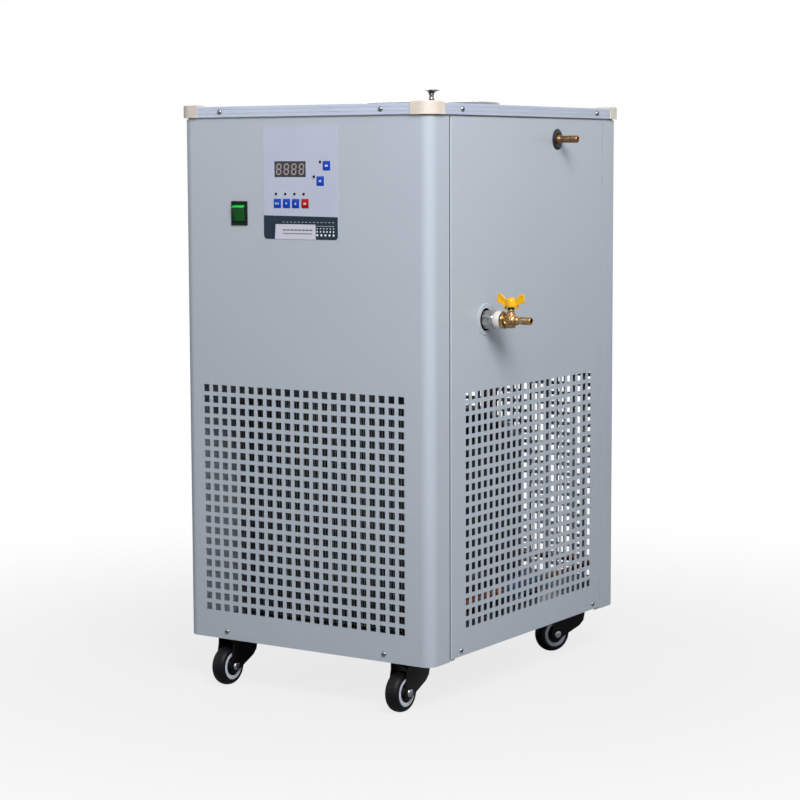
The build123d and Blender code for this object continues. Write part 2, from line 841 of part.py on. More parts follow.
# Condenser: plate fins on a tube pack, between two end plates that stand on the base
condenser_y = front_y + condenser_front + condenser_depth / 2
condenser_foot = base_top + condenser_lift
fin_count = int((condenser_width - 2 * fin_pitch) / fin_pitch)
tube_count = 2 * int((condenser_height - bend_pitch) / (2 * bend_pitch)) + 1
tube_low = condenser_foot + (condenser_height - (tube_count - 1) * bend_pitch) / 2
tube_high = tube_low + (tube_count - 1) * bend_pitch
plate_x = (condenser_width - end_plate) / 2
with BuildPart() as condenser_core:
    with BuildSketch(Plane.XY.offset(condenser_foot)):
        with Locations((condenser_x, condenser_y)):
            Rectangle(condenser_width, condenser_depth - 2 * fin_depth)
            with GridLocations(fin_pitch, 1, fin_count, 1):
                Rectangle(fin_wall, condenser_depth)
    extrude(amount=condenser_height)
    with BuildSketch(Plane.XY.offset(base_top)):
        with Locations((condenser_x - plate_x, condenser_y), (condenser_x + plate_x, condenser_y)):
            Rectangle(end_plate, condenser_depth)
    extrude(amount=condenser_lift + condenser_height)
condenser_core.part.label = "condenser_core"
export_step(condenser_core.part, "parts/condenser_core.step")

# Return bends that join the condenser's tubes, in turn on its left and right ends
with BuildPart() as condenser_bends:
    for hand in (-1, 1):
        end_x = condenser_x + hand * condenser_width / 2
        first = 0 if hand < 0 else 1
        for i in range(first, tube_count - 1, 2):
            middle = tube_low + (i + 0.5) * bend_pitch
            with BuildLine(Plane((end_x, condenser_y, middle), x_dir=(hand, 0, 0), z_dir=(0, -hand, 0))):
                bend = CenterArc((0, 0), bend_pitch / 2, -90, 180)
            with BuildSketch(Plane(bend @ 0, z_dir=bend % 0)):
                Circle(bend_tube / 2)
            sweep(path=bend)
condenser_bends.part.label = "condenser_bends"
export_step(condenser_bends.part, "parts/condenser_bends.step")

# Fan shroud: plate on the condenser's back, a round throat and the motor's arms
shroud_front = condenser_y + condenser_depth / 2
fan_z = condenser_foot + condenser_height / 2
throat_bore = fan_diameter + 2 * fan_tip_gap
arms_front = shroud_front + shroud_throat
motor_front = arms_front + shroud_arm_wall
shroud_plane = Plane((condenser_x, shroud_front, fan_z), x_dir=(1, 0, 0), z_dir=(0, 1, 0))
with BuildPart() as fan_shroud:
    with BuildSketch(shroud_plane):
        Rectangle(condenser_width, condenser_height)
        Circle(throat_bore / 2, mode=Mode.SUBTRACT)
    extrude(amount=shroud_wall)
    with BuildSketch(shroud_plane):
        ring_wall(throat_bore + 2 * shroud_wall, throat_bore)
    extrude(amount=shroud_throat)
    with BuildSketch(shroud_plane.offset(shroud_throat)):
        with PolarLocations(0, 4, 45):
            Rectangle(throat_bore + 2 * shroud_wall, shroud_arm)
        Circle(0.36 * motor_od)
        Circle(shaft_od / 2 + 1.5, mode=Mode.SUBTRACT)
    extrude(amount=shroud_arm_wall)
fan_shroud.part.label = "fan_shroud"
export_step(fan_shroud.part, "parts/fan_shroud.step")

# Fan motor behind the arms, with the bore that its shaft turns in
shaft_depth = 22.0
with BuildPart() as fan_motor:
    with BuildSketch(shroud_plane.offset(motor_front - shroud_front)):
        Circle(motor_od / 2)
    extrude(amount=motor_length)
    fillet(fan_motor.faces().sort_by(Axis.Y)[-1].edges(), 8)
    with BuildSketch(shroud_plane.offset(motor_front - shroud_front)):
        Circle(shaft_od / 2 + shaft_room)
    extrude(amount=shaft_depth + 1, mode=Mode.SUBTRACT)
fan_motor.part.label = "fan_motor"
export_step(fan_motor.part, "parts/fan_motor.step")

# Fan: five pitched blades and a hub on the shaft
fan_room = 4.0
fan_mid = fan_room + fan_hub_length / 2
blade_root = 54.0
blade_tip = 70.0
with BuildPart() as fan_blades:
    for i in range(fan_blade_count):
        around = radians(360 * i / fan_blade_count)
        pitched = radians(fan_blade_tilt)
        outwards = Vector(cos(around), 0, sin(around))
        sideways = Vector(-sin(around), 0, cos(around))
        facing = Vector(0, cos(pitched), 0) + sideways * sin(pitched)
        blade_middle = Vector(condenser_x, shroud_front + fan_mid, fan_z) - facing * (fan_blade_wall / 2)
        with BuildSketch(Plane(blade_middle, x_dir=outwards, z_dir=facing)):
            with BuildLine():
                Polyline(
                    (0.4 * fan_hub, -0.3 * blade_root),
                    (0.55 * fan_diameter, -blade_tip / 2),
                    (0.55 * fan_diameter, blade_tip / 2),
                    (0.4 * fan_hub, 0.3 * blade_root),
                    close=True,
                )
            make_face()
        extrude(amount=fan_blade_wall)
    with BuildSketch(shroud_plane.offset(fan_room)):
        Circle(fan_diameter / 2)
    extrude(amount=fan_hub_length, mode=Mode.INTERSECT)
    with BuildSketch(shroud_plane.offset(fan_room)):
        Circle(fan_hub / 2)
    extrude(amount=fan_hub_length)
    fillet(
        fan_blades.faces().filter_by(Axis.Y).sort_by(Axis.Y)[0].edges().filter_by(GeomType.CIRCLE),
        3,
    )
    with BuildSketch(shroud_plane.offset(fan_room + fan_hub_length)):
        Circle(shaft_od / 2)
    extrude(amount=motor_front - shroud_front + shaft_depth - fan_room - fan_hub_length)
fan_blades.part.label = "fan_blades"
export_step(fan_blades.part, "parts/fan_blades.step")

# Filter drier in the liquid line, and the four copper lines
drier_end = drier_y + drier_length
with BuildPart() as filter_drier:
    with BuildSketch(Plane((drier_x, 0, drier_z), x_dir=(0, 1, 0), z_dir=(1, 0, 0))):
        with BuildLine():
            Polyline(
                (drier_y, 0),
                (drier_end, 0),
                (drier_end, thin_pipe_od / 2 + 1),
                (drier_end - 10, thin_pipe_od / 2 + 1),
                (drier_end - 20, drier_od / 2),
                (drier_y + 20, drier_od / 2),
                (drier_y + 10, pipe_od / 2 + 1),
                (drier_y, pipe_od / 2 + 1),
                close=True,
            )
        make_face()
    revolve(axis=Axis((drier_x, 0, drier_z), (0, 1, 0)))
filter_drier.part.label = "filter_drier"
export_step(filter_drier.part, "parts/filter_drier.step")

discharge_side = 14.0
discharge_back = 60.0
discharge_bend = 7.0
liquid_bend = 8.0
coil_side_y = tank_y + coil_radius + coil_tube / 2
discharge_x = condenser_x - condenser_width / 2 - discharge_side
discharge_y = shroud_front + discharge_back
with BuildPart() as discharge_pipe:
    add(
        pipe_along(
            [
                (discharge_port_x, compressor_y - compressor_radius, discharge_port_z),
                (discharge_port_x, discharge_y, discharge_port_z),
                (discharge_x, discharge_y, discharge_port_z),
                (discharge_x, discharge_y, tube_high),
                (discharge_x, condenser_y, tube_high),
                (condenser_x - condenser_width / 2, condenser_y, tube_high),
            ],
            discharge_bend,
            pipe_od,
        )
    )
discharge_pipe.part.label = "discharge_pipe"
export_step(discharge_pipe.part, "parts/discharge_pipe.step")

with BuildPart() as liquid_pipe:
    add(
        pipe_along(
            [
                (condenser_x + condenser_width / 2, condenser_y, tube_low),
                (drier_x, condenser_y, tube_low),
                (drier_x, condenser_y, drier_z),
                (drier_x, drier_y, drier_z),
            ],
            liquid_bend,
            pipe_od,
        )
    )
liquid_pipe.part.label = "liquid_pipe"
export_step(liquid_pipe.part, "parts/liquid_pipe.step")

with BuildPart() as expansion_pipe:
    add(
        pipe_along(
            [
                (drier_x, drier_end, drier_z),
                (drier_x, line_y[1], drier_z),
                (0, line_y[1], drier_z),
                (0, line_y[1], coil_top),
                (0, coil_side_y, coil_top),
            ],
            pipe_bend,
            thin_pipe_od,
        )
    )
expansion_pipe.part.label = "expansion_pipe"
export_step(expansion_pipe.part, "parts/expansion_pipe.step")

with BuildPart() as suction_pipe:
    add(
        pipe_along(
            [
                (0, coil_side_y, coil_foot),
                (0, line_y[0], coil_foot),
                (0, line_y[0], suction_port_z),
                (compressor_x, line_y[0], suction_port_z),
                (compressor_x, compressor_y + compressor_radius + port_length, suction_port_z),
            ],
            pipe_bend,
            pipe_od,
        )
    )
suction_pipe.part.label = "suction_pipe"
export_step(suction_pipe.part, "parts/suction_pipe.step")

# Circulation pump: round head towards the tank, motor towards the front, on a foot
head_back = outlet_y + pump_head_length / 2
head_front = outlet_y - pump_head_length / 2
port_out = 15.0
with BuildPart() as circulation_pump:
    with BuildSketch(Plane.XZ.offset(-head_back)):
        with Locations((pump_x, outlet_z)):
            Circle(pump_head / 2)
    extrude(amount=pump_head_length)
    fillet(circulation_pump.edges().filter_by(GeomType.CIRCLE), 3)
    with BuildSketch(Plane.XZ.offset(-head_front)):
        with Locations((pump_x, outlet_z)):
            Circle(pump_motor / 2)
    extrude(amount=pump_motor_length)
    with BuildSketch(Plane.XZ.offset(-head_front + 10)):
        with Locations((pump_x, (shelf_top + outlet_z) / 2)):
            Rectangle(0.6 * pump_motor, outlet_z - shelf_top)
    extrude(amount=pump_motor_length - 24)
    with BuildSketch(Plane.XZ.offset(-head_front + 4)):
        with Locations((pump_x, shelf_top + pump_foot_wall / 2)):
            Rectangle(pump_motor + 12, pump_foot_wall)
    extrude(amount=pump_motor_length - 12)
    with BuildSketch(Plane.XZ.offset(-head_back)):
        with Locations((pump_x, outlet_z)):
            Circle(stub_od / 2)
    extrude(amount=-port_out)
    with BuildSketch(Plane.YZ.offset(pump_x)):
        with Locations((outlet_y, outlet_z)):
            Circle(coupling_stub / 2)
    extrude(amount=pump_head / 2 + port_out)
    with BuildSketch(Plane.XZ.offset(-head_back - port_out)):
        with Locations((pump_x, outlet_z)):
            Circle(stub_bore / 2)
    extrude(amount=port_out, mode=Mode.SUBTRACT)
    with BuildSketch(Plane.YZ.offset(pump_x + pump_head / 2 + port_out)):
        with Locations((outlet_y, outlet_z)):
            Circle(coupling_bore / 2)
    extrude(amount=-port_out, mode=Mode.SUBTRACT)
circulation_pump.part.label = "circulation_pump"
export_step(circulation_pump.part, "parts/circulation_pump.step")

# Hoses pushed over the stubs at both their ends
with BuildPart() as pump_inlet_hose:
    with BuildSketch(Plane.XZ.offset(-head_back - 1)):
        with Locations((pump_x, outlet_z)):
            ring_wall(stub_od + 2 * hose_wall, stub_od)
    extrude(amount=-(jacket_front - head_back - 2))
pump_inlet_hose.part.label = "pump_inlet_hose"
export_step(pump_inlet_hose.part, "parts/pump_inlet_hose.step")

coupling_shoulder = right_x - coupling_in
with BuildPart() as outlet_hose:
    with BuildSketch(Plane.YZ.offset(pump_x + pump_head / 2 + 1)):
        with Locations((outlet_y, outlet_z)):
            ring_wall(coupling_stub + 2 * hose_wall, coupling_stub)
    extrude(amount=coupling_shoulder - pump_x - pump_head / 2 - 2)
outlet_hose.part.label = "outlet_hose"
export_step(outlet_hose.part, "parts/outlet_hose.step")

return_shoulder = right_x - sheet - 5.0
with BuildPart() as return_hose:
    with BuildSketch(Plane.YZ.offset(jacket_right + 1)):
        with Locations((return_y, return_z)):
            ring_wall(stub_od + 2 * hose_wall, stub_od)
    extrude(amount=return_shoulder - jacket_right - 2)
return_hose.part.label = "return_hose"
export_step(return_hose.part, "parts/return_hose.step")

# Ring round the outlet's hole, and the steel coupling that passes through it
with BuildPart() as outlet_ring:
    with BuildSketch(Plane.YZ.offset(right_x)):
        with Locations((outlet_y, outlet_z)):
            ring_wall(outlet_ring_od, outlet_hole)
    extrude(amount=outlet_ring_wall)
    chamfer(
        outlet_ring.faces().sort_by(Axis.X)[-1].edges().sort_by(SortBy.LENGTH)[-1],
        0.6 * outlet_ring_wall,
    )
outlet_ring.part.label = "outlet_ring"
export_step(outlet_ring.part, "parts/outlet_ring.step")

coupling_end = right_x + coupling_out
with BuildPart() as outlet_coupling:
    with BuildSketch(Plane.YZ.offset(coupling_shoulder)):
        with Locations((outlet_y, outlet_z)):
            RegularPolygon(coupling_od / 2, 8, rotation=22.5)
    extrude(amount=coupling_end - coupling_shoulder)
    with BuildSketch(Plane.YZ.offset(coupling_shoulder)):
        with Locations((outlet_y, outlet_z)):
            Circle(coupling_stub / 2)
    extrude(amount=-port_out)
    with BuildSketch(Plane.YZ.offset(coupling_shoulder - port_out)):
        with Locations((outlet_y, outlet_z)):
            Circle(coupling_bore / 2)
    extrude(amount=coupling_end - coupling_shoulder + port_out, mode=Mode.SUBTRACT)
outlet_coupling.part.label = "outlet_coupling"
export_step(outlet_coupling.part, "parts/outlet_coupling.step")

# Thread tape wound on the valve's male thread, between the coupling and its hexagon
tape_end = coupling_end + tape_length
thread_od = coupling_bore + 2.0
with BuildPart() as thread_tape:
    with BuildSketch(Plane.YZ.offset(coupling_end)):
        with Locations((outlet_y, outlet_z)):
            ring_wall(tape_od, thread_od)
    extrude(amount=tape_length)
    chamfer(thread_tape.edges().filter_by(GeomType.CIRCLE).group_by(SortBy.LENGTH)[-1], 0.9)
thread_tape.part.label = "thread_tape"
export_step(thread_tape.part, "parts/thread_tape.step")


def tail_section(start, end, neck, bead):
    """Half section of a hose tail along its axis: neck, bead and a plain land to the tip."""
    return [
        (start, neck / 2),
        (start + 1.2, neck / 2),
        (start + 1.8, bead / 2),
        (start + 3.2, bead / 2),
        (start + 3.8, neck / 2),
        (start + 5.0, neck / 2),
        (end - tail_land - 2.0, tail_od / 2),
        (end - tail_chamfer, tail_od / 2),
        (end, tail_od / 2 - tail_chamfer),
    ]


# Ball valve body: male thread, hexagon, round body with the stem's neck, hose tail
hex_end = tape_end + valve_hex_length
body_end = hex_end + valve_length
tail_end = body_end + tail_length
valve_x = (hex_end + body_end) / 2
valve_plane = Plane((0, outlet_y, outlet_z), x_dir=(1, 0, 0), z_dir=(0, -1, 0))
valve_axis = Axis((0, outlet_y, outlet_z), (1, 0, 0))
body_shoulder = 3.0
with BuildPart() as valve_body:
    with BuildSketch(valve_plane):
        with BuildLine():
            Polyline(
                (coupling_end, 0),
                (coupling_end, thread_od / 2),
                (tape_end, thread_od / 2),
                (tape_end, valve_od / 2 - 0.6),
                (hex_end, valve_od / 2 - 0.6),
                (hex_end + body_shoulder, valve_od / 2),
                (body_end - body_shoulder, valve_od / 2),
                (body_end, valve_od / 2 - body_shoulder),
                *tail_section(body_end, tail_end, tail_neck, tail_bead),
                (tail_end, 0),
                close=True,
            )
        make_face()
    revolve(axis=valve_axis)
    with BuildSketch(Plane.YZ.offset(tape_end)):
        with Locations((outlet_y, outlet_z)):
            RegularPolygon(valve_hex / 2, 6, major_radius=False, rotation=90)
    extrude(amount=valve_hex_length)
    with BuildSketch(Plane.XY.offset(outlet_z)):
        with Locations((valve_x, outlet_y)):
            Circle(neck_od / 2)
    extrude(amount=neck_top)
    with Locations((valve_x, outlet_y, outlet_z)):
        Sphere(ball_radius + ball_room, mode=Mode.SUBTRACT)
    with BuildSketch(Plane.XY.offset(outlet_z)):
        with Locations((valve_x, outlet_y)):
            Circle(stem_od / 2 + stem_room)
    extrude(amount=neck_top, mode=Mode.SUBTRACT)
    with BuildSketch(Plane.YZ.offset(coupling_end)):
        with Locations((outlet_y, outlet_z)):
            Circle(valve_bore / 2)
    extrude(amount=tail_end - coupling_end, mode=Mode.SUBTRACT)
valve_body.part.label = "valve_body"
export_step(valve_body.part, "parts/valve_body.step")

# Valve stem with its bored ball
handle_foot = outlet_z + neck_top + handle_gap
handle_top = handle_foot + handle_hub_height
stem_top = handle_top - 3.0
with BuildPart() as valve_stem:
    with Locations((valve_x, outlet_y, outlet_z)):
        Sphere(ball_radius)
    with BuildSketch(Plane.XY.offset(outlet_z)):
        with Locations((valve_x, outlet_y)):
            Circle(stem_od / 2)
    extrude(amount=stem_top - outlet_z)
    with BuildSketch(Plane.YZ.offset(valve_x - 2 * ball_radius)):
        with Locations((outlet_y, outlet_z)):
            Circle(valve_bore / 2)
    extrude(amount=4 * ball_radius, mode=Mode.SUBTRACT)
valve_stem.part.label = "valve_stem"
export_step(valve_stem.part, "parts/valve_stem.step")

# Butterfly handle: domed hub, two wings in line with the flow, and two stop lugs
wing_root = handle_hub / 2 - 1.0
with BuildPart() as valve_handle:
    with BuildSketch(Plane((valve_x, outlet_y, handle_foot), x_dir=(1, 0, 0), z_dir=(0, -1, 0))):
        with BuildLine():
            Polyline((0, handle_hub_height), (0, 0), (handle_hub / 2 - 0.6, 0))
            ThreePointArc(
                (handle_hub / 2 - 0.6, 0),
                (handle_hub / 2, 0.35 * handle_hub_height),
                (0.42 * handle_hub, 0.75 * handle_hub_height),
            )
            ThreePointArc(
                (0.42 * handle_hub, 0.75 * handle_hub_height),
                crown_middle(0.42 * handle_hub, 0.75 * handle_hub_height, handle_hub_height),
                (0, handle_hub_height),
            )
        make_face()
    revolve(axis=Axis((valve_x, outlet_y, 0), (0, 0, 1)))
    with BuildSketch(Plane((valve_x, outlet_y, handle_foot), x_dir=(1, 0, 0), z_dir=(0, -1, 0))) as wings:
        with BuildLine():
            Polyline(
                (0, 1.0),
                (wing_root, 1.0),
                (wing_span / 2, 0.45 * handle_hub_height),
                (wing_span / 2 - 0.6, handle_hub_height + 0.4 * wing_rise),
                (wing_span / 2 - 4.0, handle_hub_height + wing_rise),
                (wing_span / 2 - 6.5, handle_hub_height + 0.9 * wing_rise),
                (wing_root, 0.72 * handle_hub_height),
                (0, 0.72 * handle_hub_height),
                close=True,
            )
        make_face()
        fillet(wings.vertices().filter_by_position(Axis.X, valve_x + wing_root + 1, right_x + 200), 1.2)
        mirror(about=Plane.YZ)
    extrude(amount=wing_wall / 2, both=True)
    with BuildSketch(Plane.XY.offset(handle_foot)):
        with Locations((valve_x, outlet_y)):
            RectangleRounded(handle_lug, 0.62 * handle_hub, 2)
    extrude(amount=1.6)
    with BuildSketch(Plane.XY.offset(handle_foot)):
        with Locations(
            (valve_x - handle_lug / 2 + 1.0, outlet_y), (valve_x + handle_lug / 2 - 1.0, outlet_y)
        ):
            Rectangle(2.0, 0.36 * handle_hub)
    extrude(amount=-handle_lug_drop)
    with BuildSketch(Plane.XY.offset(handle_foot)):
        with Locations((valve_x, outlet_y)):
            Circle(stem_od / 2)
    extrude(amount=stem_top - handle_foot, mode=Mode.SUBTRACT)
valve_handle.part.label = "valve_handle"
export_step(valve_handle.part, "parts/valve_handle.step")

# Rubber grommet and the brass return tail through it
return_plane = Plane((0, return_y, return_z), x_dir=(1, 0, 0), z_dir=(0, -1, 0))
return_axis = Axis((0, return_y, return_z), (1, 0, 0))
with BuildPart() as return_grommet:
    with BuildSketch(return_plane):
        with BuildLine():
            Polyline(
                (return_shoulder, return_cone / 2),
                (return_shoulder, grommet_inner / 2 - 2),
                (right_x - sheet, grommet_inner / 2),
                (right_x - sheet, grommet_hole / 2),
                (right_x, grommet_hole / 2),
                (right_x, grommet_od / 2),
                (right_x + 0.35 * grommet_proud, grommet_od / 2),
                (right_x + grommet_proud, grommet_od / 2 - 3.2),
                (right_x + grommet_proud, return_cone / 2),
                close=True,
            )
        make_face()
    revolve(axis=return_axis)
return_grommet.part.label = "return_grommet"
export_step(return_grommet.part, "parts/return_grommet.step")

return_end = right_x + return_out
with BuildPart() as return_tail:
    with BuildSketch(return_plane):
        with BuildLine():
            Polyline(
                (right_x - return_in, valve_bore / 2),
                (right_x - return_in, stub_od / 2),
                (return_shoulder, stub_od / 2),
                (return_shoulder, return_cone / 2),
                (right_x + grommet_proud, return_cone / 2),
                (right_x + grommet_proud + 4.5, return_tail_od / 2 - 0.3),
                (right_x + 0.42 * return_out, return_tail_od / 2 - 0.3),
                (right_x + 0.45 * return_out, return_tail_od / 2),
                (return_end - tail_chamfer, return_tail_od / 2),
                (return_end, return_tail_od / 2 - tail_chamfer),
                (return_end, valve_bore / 2),
                close=True,
            )
        make_face()
    revolve(axis=return_axis)
return_tail.part.label = "return_tail"
export_step(return_tail.part, "parts/return_tail.step")

# Rocker switch: bezel and body moulded in one, with the spade terminals
pivot_y = front_y + rocker_pivot
with BuildPart() as switch_frame:
    with BuildSketch(Plane.XZ.offset(depth / 2)):
        with Locations((switch_x, switch_z)):
            Rectangle(bezel_width, bezel_height)
    extrude(amount=bezel_proud)
    chamfer(switch_frame.faces().sort_by(Axis.Y)[0].edges(), 0.8)
    with BuildSketch(Plane.XZ.offset(depth / 2)):
        with Locations((switch_x, switch_z)):
            Rectangle(switch_body_width, switch_body_height)
    extrude(amount=-switch_body_depth)
    with BuildSketch(Plane.YZ.offset(switch_x)):
        with Locations((pivot_y, switch_z)):
            Circle(rocker_radius + rocker_gap)
        with Locations((pivot_y - 10, switch_z)):
            Rectangle(20, 2 * (rocker_radius + rocker_gap))
    extrude(amount=rocker_width / 2 + rocker_gap, both=True, mode=Mode.SUBTRACT)
    with BuildSketch(Plane.XZ.offset(depth / 2 - switch_body_depth)):
        with Locations((switch_x, switch_z)):
            with GridLocations(10, 9, 2, 2):
                Rectangle(0.8, terminal_width)
    extrude(amount=-terminal_length)
switch_frame.part.label = "switch_frame"
export_step(switch_frame.part, "parts/switch_frame.step")

# Rocker: round back on the pivot, a slightly hollow face, one end pressed in
rocker_plane = Plane(
    (switch_x, pivot_y, switch_z),
    x_dir=(0, -cos(radians(rocker_tilt)), -sin(radians(rocker_tilt))),
    z_dir=(-1, 0, 0),
)
half_face = sqrt(rocker_radius**2 - rocker_face**2)
with BuildPart() as switch_rocker:
    with BuildSketch(rocker_plane):
        with BuildLine():
            ThreePointArc(
                (rocker_face, half_face), (-rocker_radius, 0), (rocker_face, -half_face)
            )
            ThreePointArc(
                (rocker_face, -half_face), (rocker_face - 1.1, 0), (rocker_face, half_face)
            )
        make_face()
    extrude(amount=rocker_width / 2, both=True)
switch_rocker.part.label = "switch_rocker"
export_step(switch_rocker.part, "parts/switch_rocker.step")

# Control overlay: a film with holes for the window, the keys and the lamps
overlay_z = overlay_top - overlay_height / 2
with BuildPart() as control_overlay:
    with BuildSketch(Plane.XZ.offset(depth / 2)):
        with Locations((overlay_x, overlay_z)):
            RectangleRounded(overlay_width, overlay_height, 4)
        with Locations((window_x, window_z)):
            Rectangle(window_width, window_height, mode=Mode.SUBTRACT)
        with Locations(*keys.values()):
            Rectangle(key_width + 2 * key_gap, key_height + 2 * key_gap, mode=Mode.SUBTRACT)
        with Locations(*leds):
            Circle(led_od / 2 + fit_gap / 2, mode=Mode.SUBTRACT)
    extrude(amount=overlay_film)
control_overlay.part.label = "control_overlay"
export_step(control_overlay.part, "parts/control_overlay.step")

# Display module: four-digit block between the board and the window
board_front = front_y + sheet + board_gap
with BuildPart() as display_module:
    with BuildSketch(Plane.XZ.offset(depth / 2)):
        with Locations((window_x, window_z)):
            Rectangle(window_width, window_height)
    extrude(amount=-(board_front - front_y))
display_module.part.label = "display_module"
export_step(display_module.part, "parts/display_module.step")

# Control board on four posts, with the lamps, the key switches and a transformer
tact_side = 6.0
tact_height = 1.0
board_places = [
    (x, z) for x in (-0.45 * board_width, 0.45 * board_width)
    for z in (board_z - 0.44 * board_height, board_z + 0.44 * board_height)
]
with BuildPart() as control_board:
    with BuildSketch(Plane.XZ.offset(-board_front)):
        with Locations((0, board_z)):
            Rectangle(board_width, board_height)
    extrude(amount=-board_wall)
    with BuildSketch(Plane.XZ.offset(-board_front)):
        with Locations(*board_places):
            Circle(2.5)
    extrude(amount=board_gap)
    with BuildSketch(Plane.XZ.offset(-board_front)):
        with Locations(*leds):
            Circle(led_od / 2)
    extrude(amount=board_front - front_y + overlay_film)
    with BuildSketch(Plane.XZ.offset(-board_front)):
        with Locations(*keys.values()):
            Rectangle(tact_side, tact_side)
    extrude(amount=tact_height)
    with BuildSketch(Plane.XZ.offset(-board_front - board_wall)):
        with Locations((-30, board_z - 18)):
            Rectangle(36, 30)
        with Locations((20, board_z - 20), (38, board_z - 20)):
            Rectangle(15, 19)
    extrude(amount=-16)
control_board.part.label = "control_board"
export_step(control_board.part, "parts/control_board.step")

# Keys: a cap in the overlay's hole, and a plunger that presses a switch on the board
plunger_end = board_front - tact_height - key_travel - 0.1
key_face = front_y - overlay_film - key_proud
for name, (key_x, key_z) in keys.items():
    with BuildPart() as key:
        with BuildSketch(Plane.XZ.offset(-key_face)):
            with Locations((key_x, key_z)):
                RectangleRounded(key_width, key_height, 1.2)
        extrude(amount=-key_depth)
        with BuildSketch(Plane.XZ.offset(-key_face)):
            with Locations((key_x, key_z)):
                Circle(key_plunger / 2)
        extrude(amount=-(plunger_end - key_face))
    key.part.label = name
    export_step(key.part, f"parts/{name}.step")

# Cable gland with its two nuts, bored for the mains cord
gland_end = rear_y + gland_proud
gland_start = rear_y - sheet - gland_nut - 4.0
gland_plane = Plane((gland_x, 0, gland_z), x_dir=(1, 0, 0), z_dir=(0, 1, 0))
with BuildPart() as cable_gland:
    with BuildSketch(gland_plane.offset(gland_start)):
        Circle(gland_thread / 2)
    extrude(amount=gland_end - gland_start)
    with BuildSketch(gland_plane.offset(rear_y)):
        RegularPolygon(gland_hex / 2, 6, major_radius=False)
    extrude(amount=0.28 * gland_proud)
    with BuildSketch(gland_plane.offset(rear_y + 0.36 * gland_proud)):
        RegularPolygon(gland_hex / 2, 6, major_radius=False)
    extrude(amount=0.34 * gland_proud)
    with BuildSketch(gland_plane.offset(rear_y + 0.7 * gland_proud)):
        Circle(0.46 * gland_hex)
    extrude(amount=0.3 * gland_proud, taper=18)
    with BuildSketch(gland_plane.offset(rear_y - sheet)):
        RegularPolygon(gland_hex / 2, 6, major_radius=False)
    extrude(amount=-gland_nut)
    with BuildSketch(gland_plane.offset(gland_start)):
        Circle(gland_bore / 2)
    extrude(amount=gland_end - gland_start, mode=Mode.SUBTRACT)
cable_gland.part.label = "cable_gland"
export_step(cable_gland.part, "parts/cable_gland.step")

# Castor plates: a square plate under the base and the upper half of the ball race
plate_foot = base_top - base_sheet - castor_plate_wall
with BuildPart() as castor_plates:
    with Locations(*[(x, y, plate_foot) for x, y in castor_spots]):
        Box(
            castor_plate, castor_plate, castor_plate_wall,
            align=(Align.CENTER, Align.CENTER, Align.MIN),
        )
    with BuildSketch(Plane.XY.offset(race_top + race_room)):
        with Locations(*castor_spots):
            Circle(race_radius)
    extrude(amount=plate_foot - race_top - race_room)
    with BuildSketch(Plane.XY.offset(race_top)):
        with Locations(*castor_spots):
            Circle(kingpin_od / 2 + axle_room)
    extrude(amount=base_top - race_top, mode=Mode.SUBTRACT)
castor_plates.part.label = "castor_plates"
export_step(castor_plates.part, "parts/castor_plates.step")

# One castor fork in its own frame: pivot on the Z axis, the wheel out along X
axle_z = wheel_diameter / 2
leg_out = fork_gap + fork_wall
with BuildPart() as fork_stock:
    with BuildSketch(Plane.XY.offset(fork_top)):
        with Locations(((fork_front - fork_back) / 2, 0)):
            RectangleRounded(fork_front + fork_back, 2 * leg_out, 3)
    extrude(amount=-fork_wall)
    with BuildSketch(Plane.XY.offset(fork_top)):
        Circle(race_radius)
    extrude(amount=race_top - fork_top)
    with BuildSketch(Plane.XY.offset(race_top)):
        Circle(kingpin_od / 2)
    extrude(amount=base_top - race_top - 0.5)
    for side in (-1, 1):
        with BuildSketch(Plane.XZ.offset(-side * fork_gap)):
            with BuildLine():
                Polyline(
                    (-fork_back, fork_top),
                    (fork_front, fork_top),
                    (castor_trail + fork_boss - 1.2, axle_z + 3),
                    (castor_trail - 5.0, axle_z - 7.5),
                    (-fork_back + 1.5, axle_z + 19.0),
                    close=True,
                )
            make_face()
            with Locations((castor_trail, axle_z)):
                Circle(fork_boss)
        extrude(amount=-side * fork_wall)
    with BuildSketch(Plane.XZ.offset(-leg_out)):
        with Locations((castor_trail, axle_z)):
            Circle(axle_od / 2)
    extrude(amount=2 * leg_out)
    with BuildSketch(Plane.XZ.offset(-leg_out)):
        with Locations((castor_trail, axle_z)):
            Circle(0.68 * axle_od)
    extrude(amount=-3.0)
    with BuildSketch(Plane.XZ.offset(leg_out)):
        with Locations((castor_trail, axle_z)):
            RegularPolygon(0.68 * axle_od, 6)
    extrude(amount=3.5)

# One wheel in the same frame: round tread, side rings and a bored hub
wheel_radius = wheel_diameter / 2
tread_edge = 0.78 * wheel_radius
half_tread = wheel_width / 2
with BuildPart() as wheel_stock:
    with BuildSketch(Plane((castor_trail, 0, axle_z), x_dir=(0, 1, 0), z_dir=(1, 0, 0))) as half:
        with BuildLine():
            Polyline(
                (0, axle_od / 2 + axle_room),
                (wheel_hub_width / 2, axle_od / 2 + axle_room),
                (wheel_hub_width / 2, 7.0),
                (half_tread - 3.0, 8.0),
                (half_tread - 3.0, 11.5),
                (half_tread - 0.8, 12.6),
                (half_tread - 0.8, 17.0),
                (half_tread - 0.3, 17.6),
                (half_tread - 0.3, tread_edge),
            )
            ThreePointArc(
                (half_tread - 0.3, tread_edge),
                (0.62 * half_tread, 0.935 * wheel_radius),
                (0, wheel_radius),
            )
            Line((0, wheel_radius), (0, axle_od / 2 + axle_room))
        make_face()
        mirror(about=Plane.XZ)
    revolve(axis=Axis((castor_trail, 0, axle_z), (0, 1, 0)))

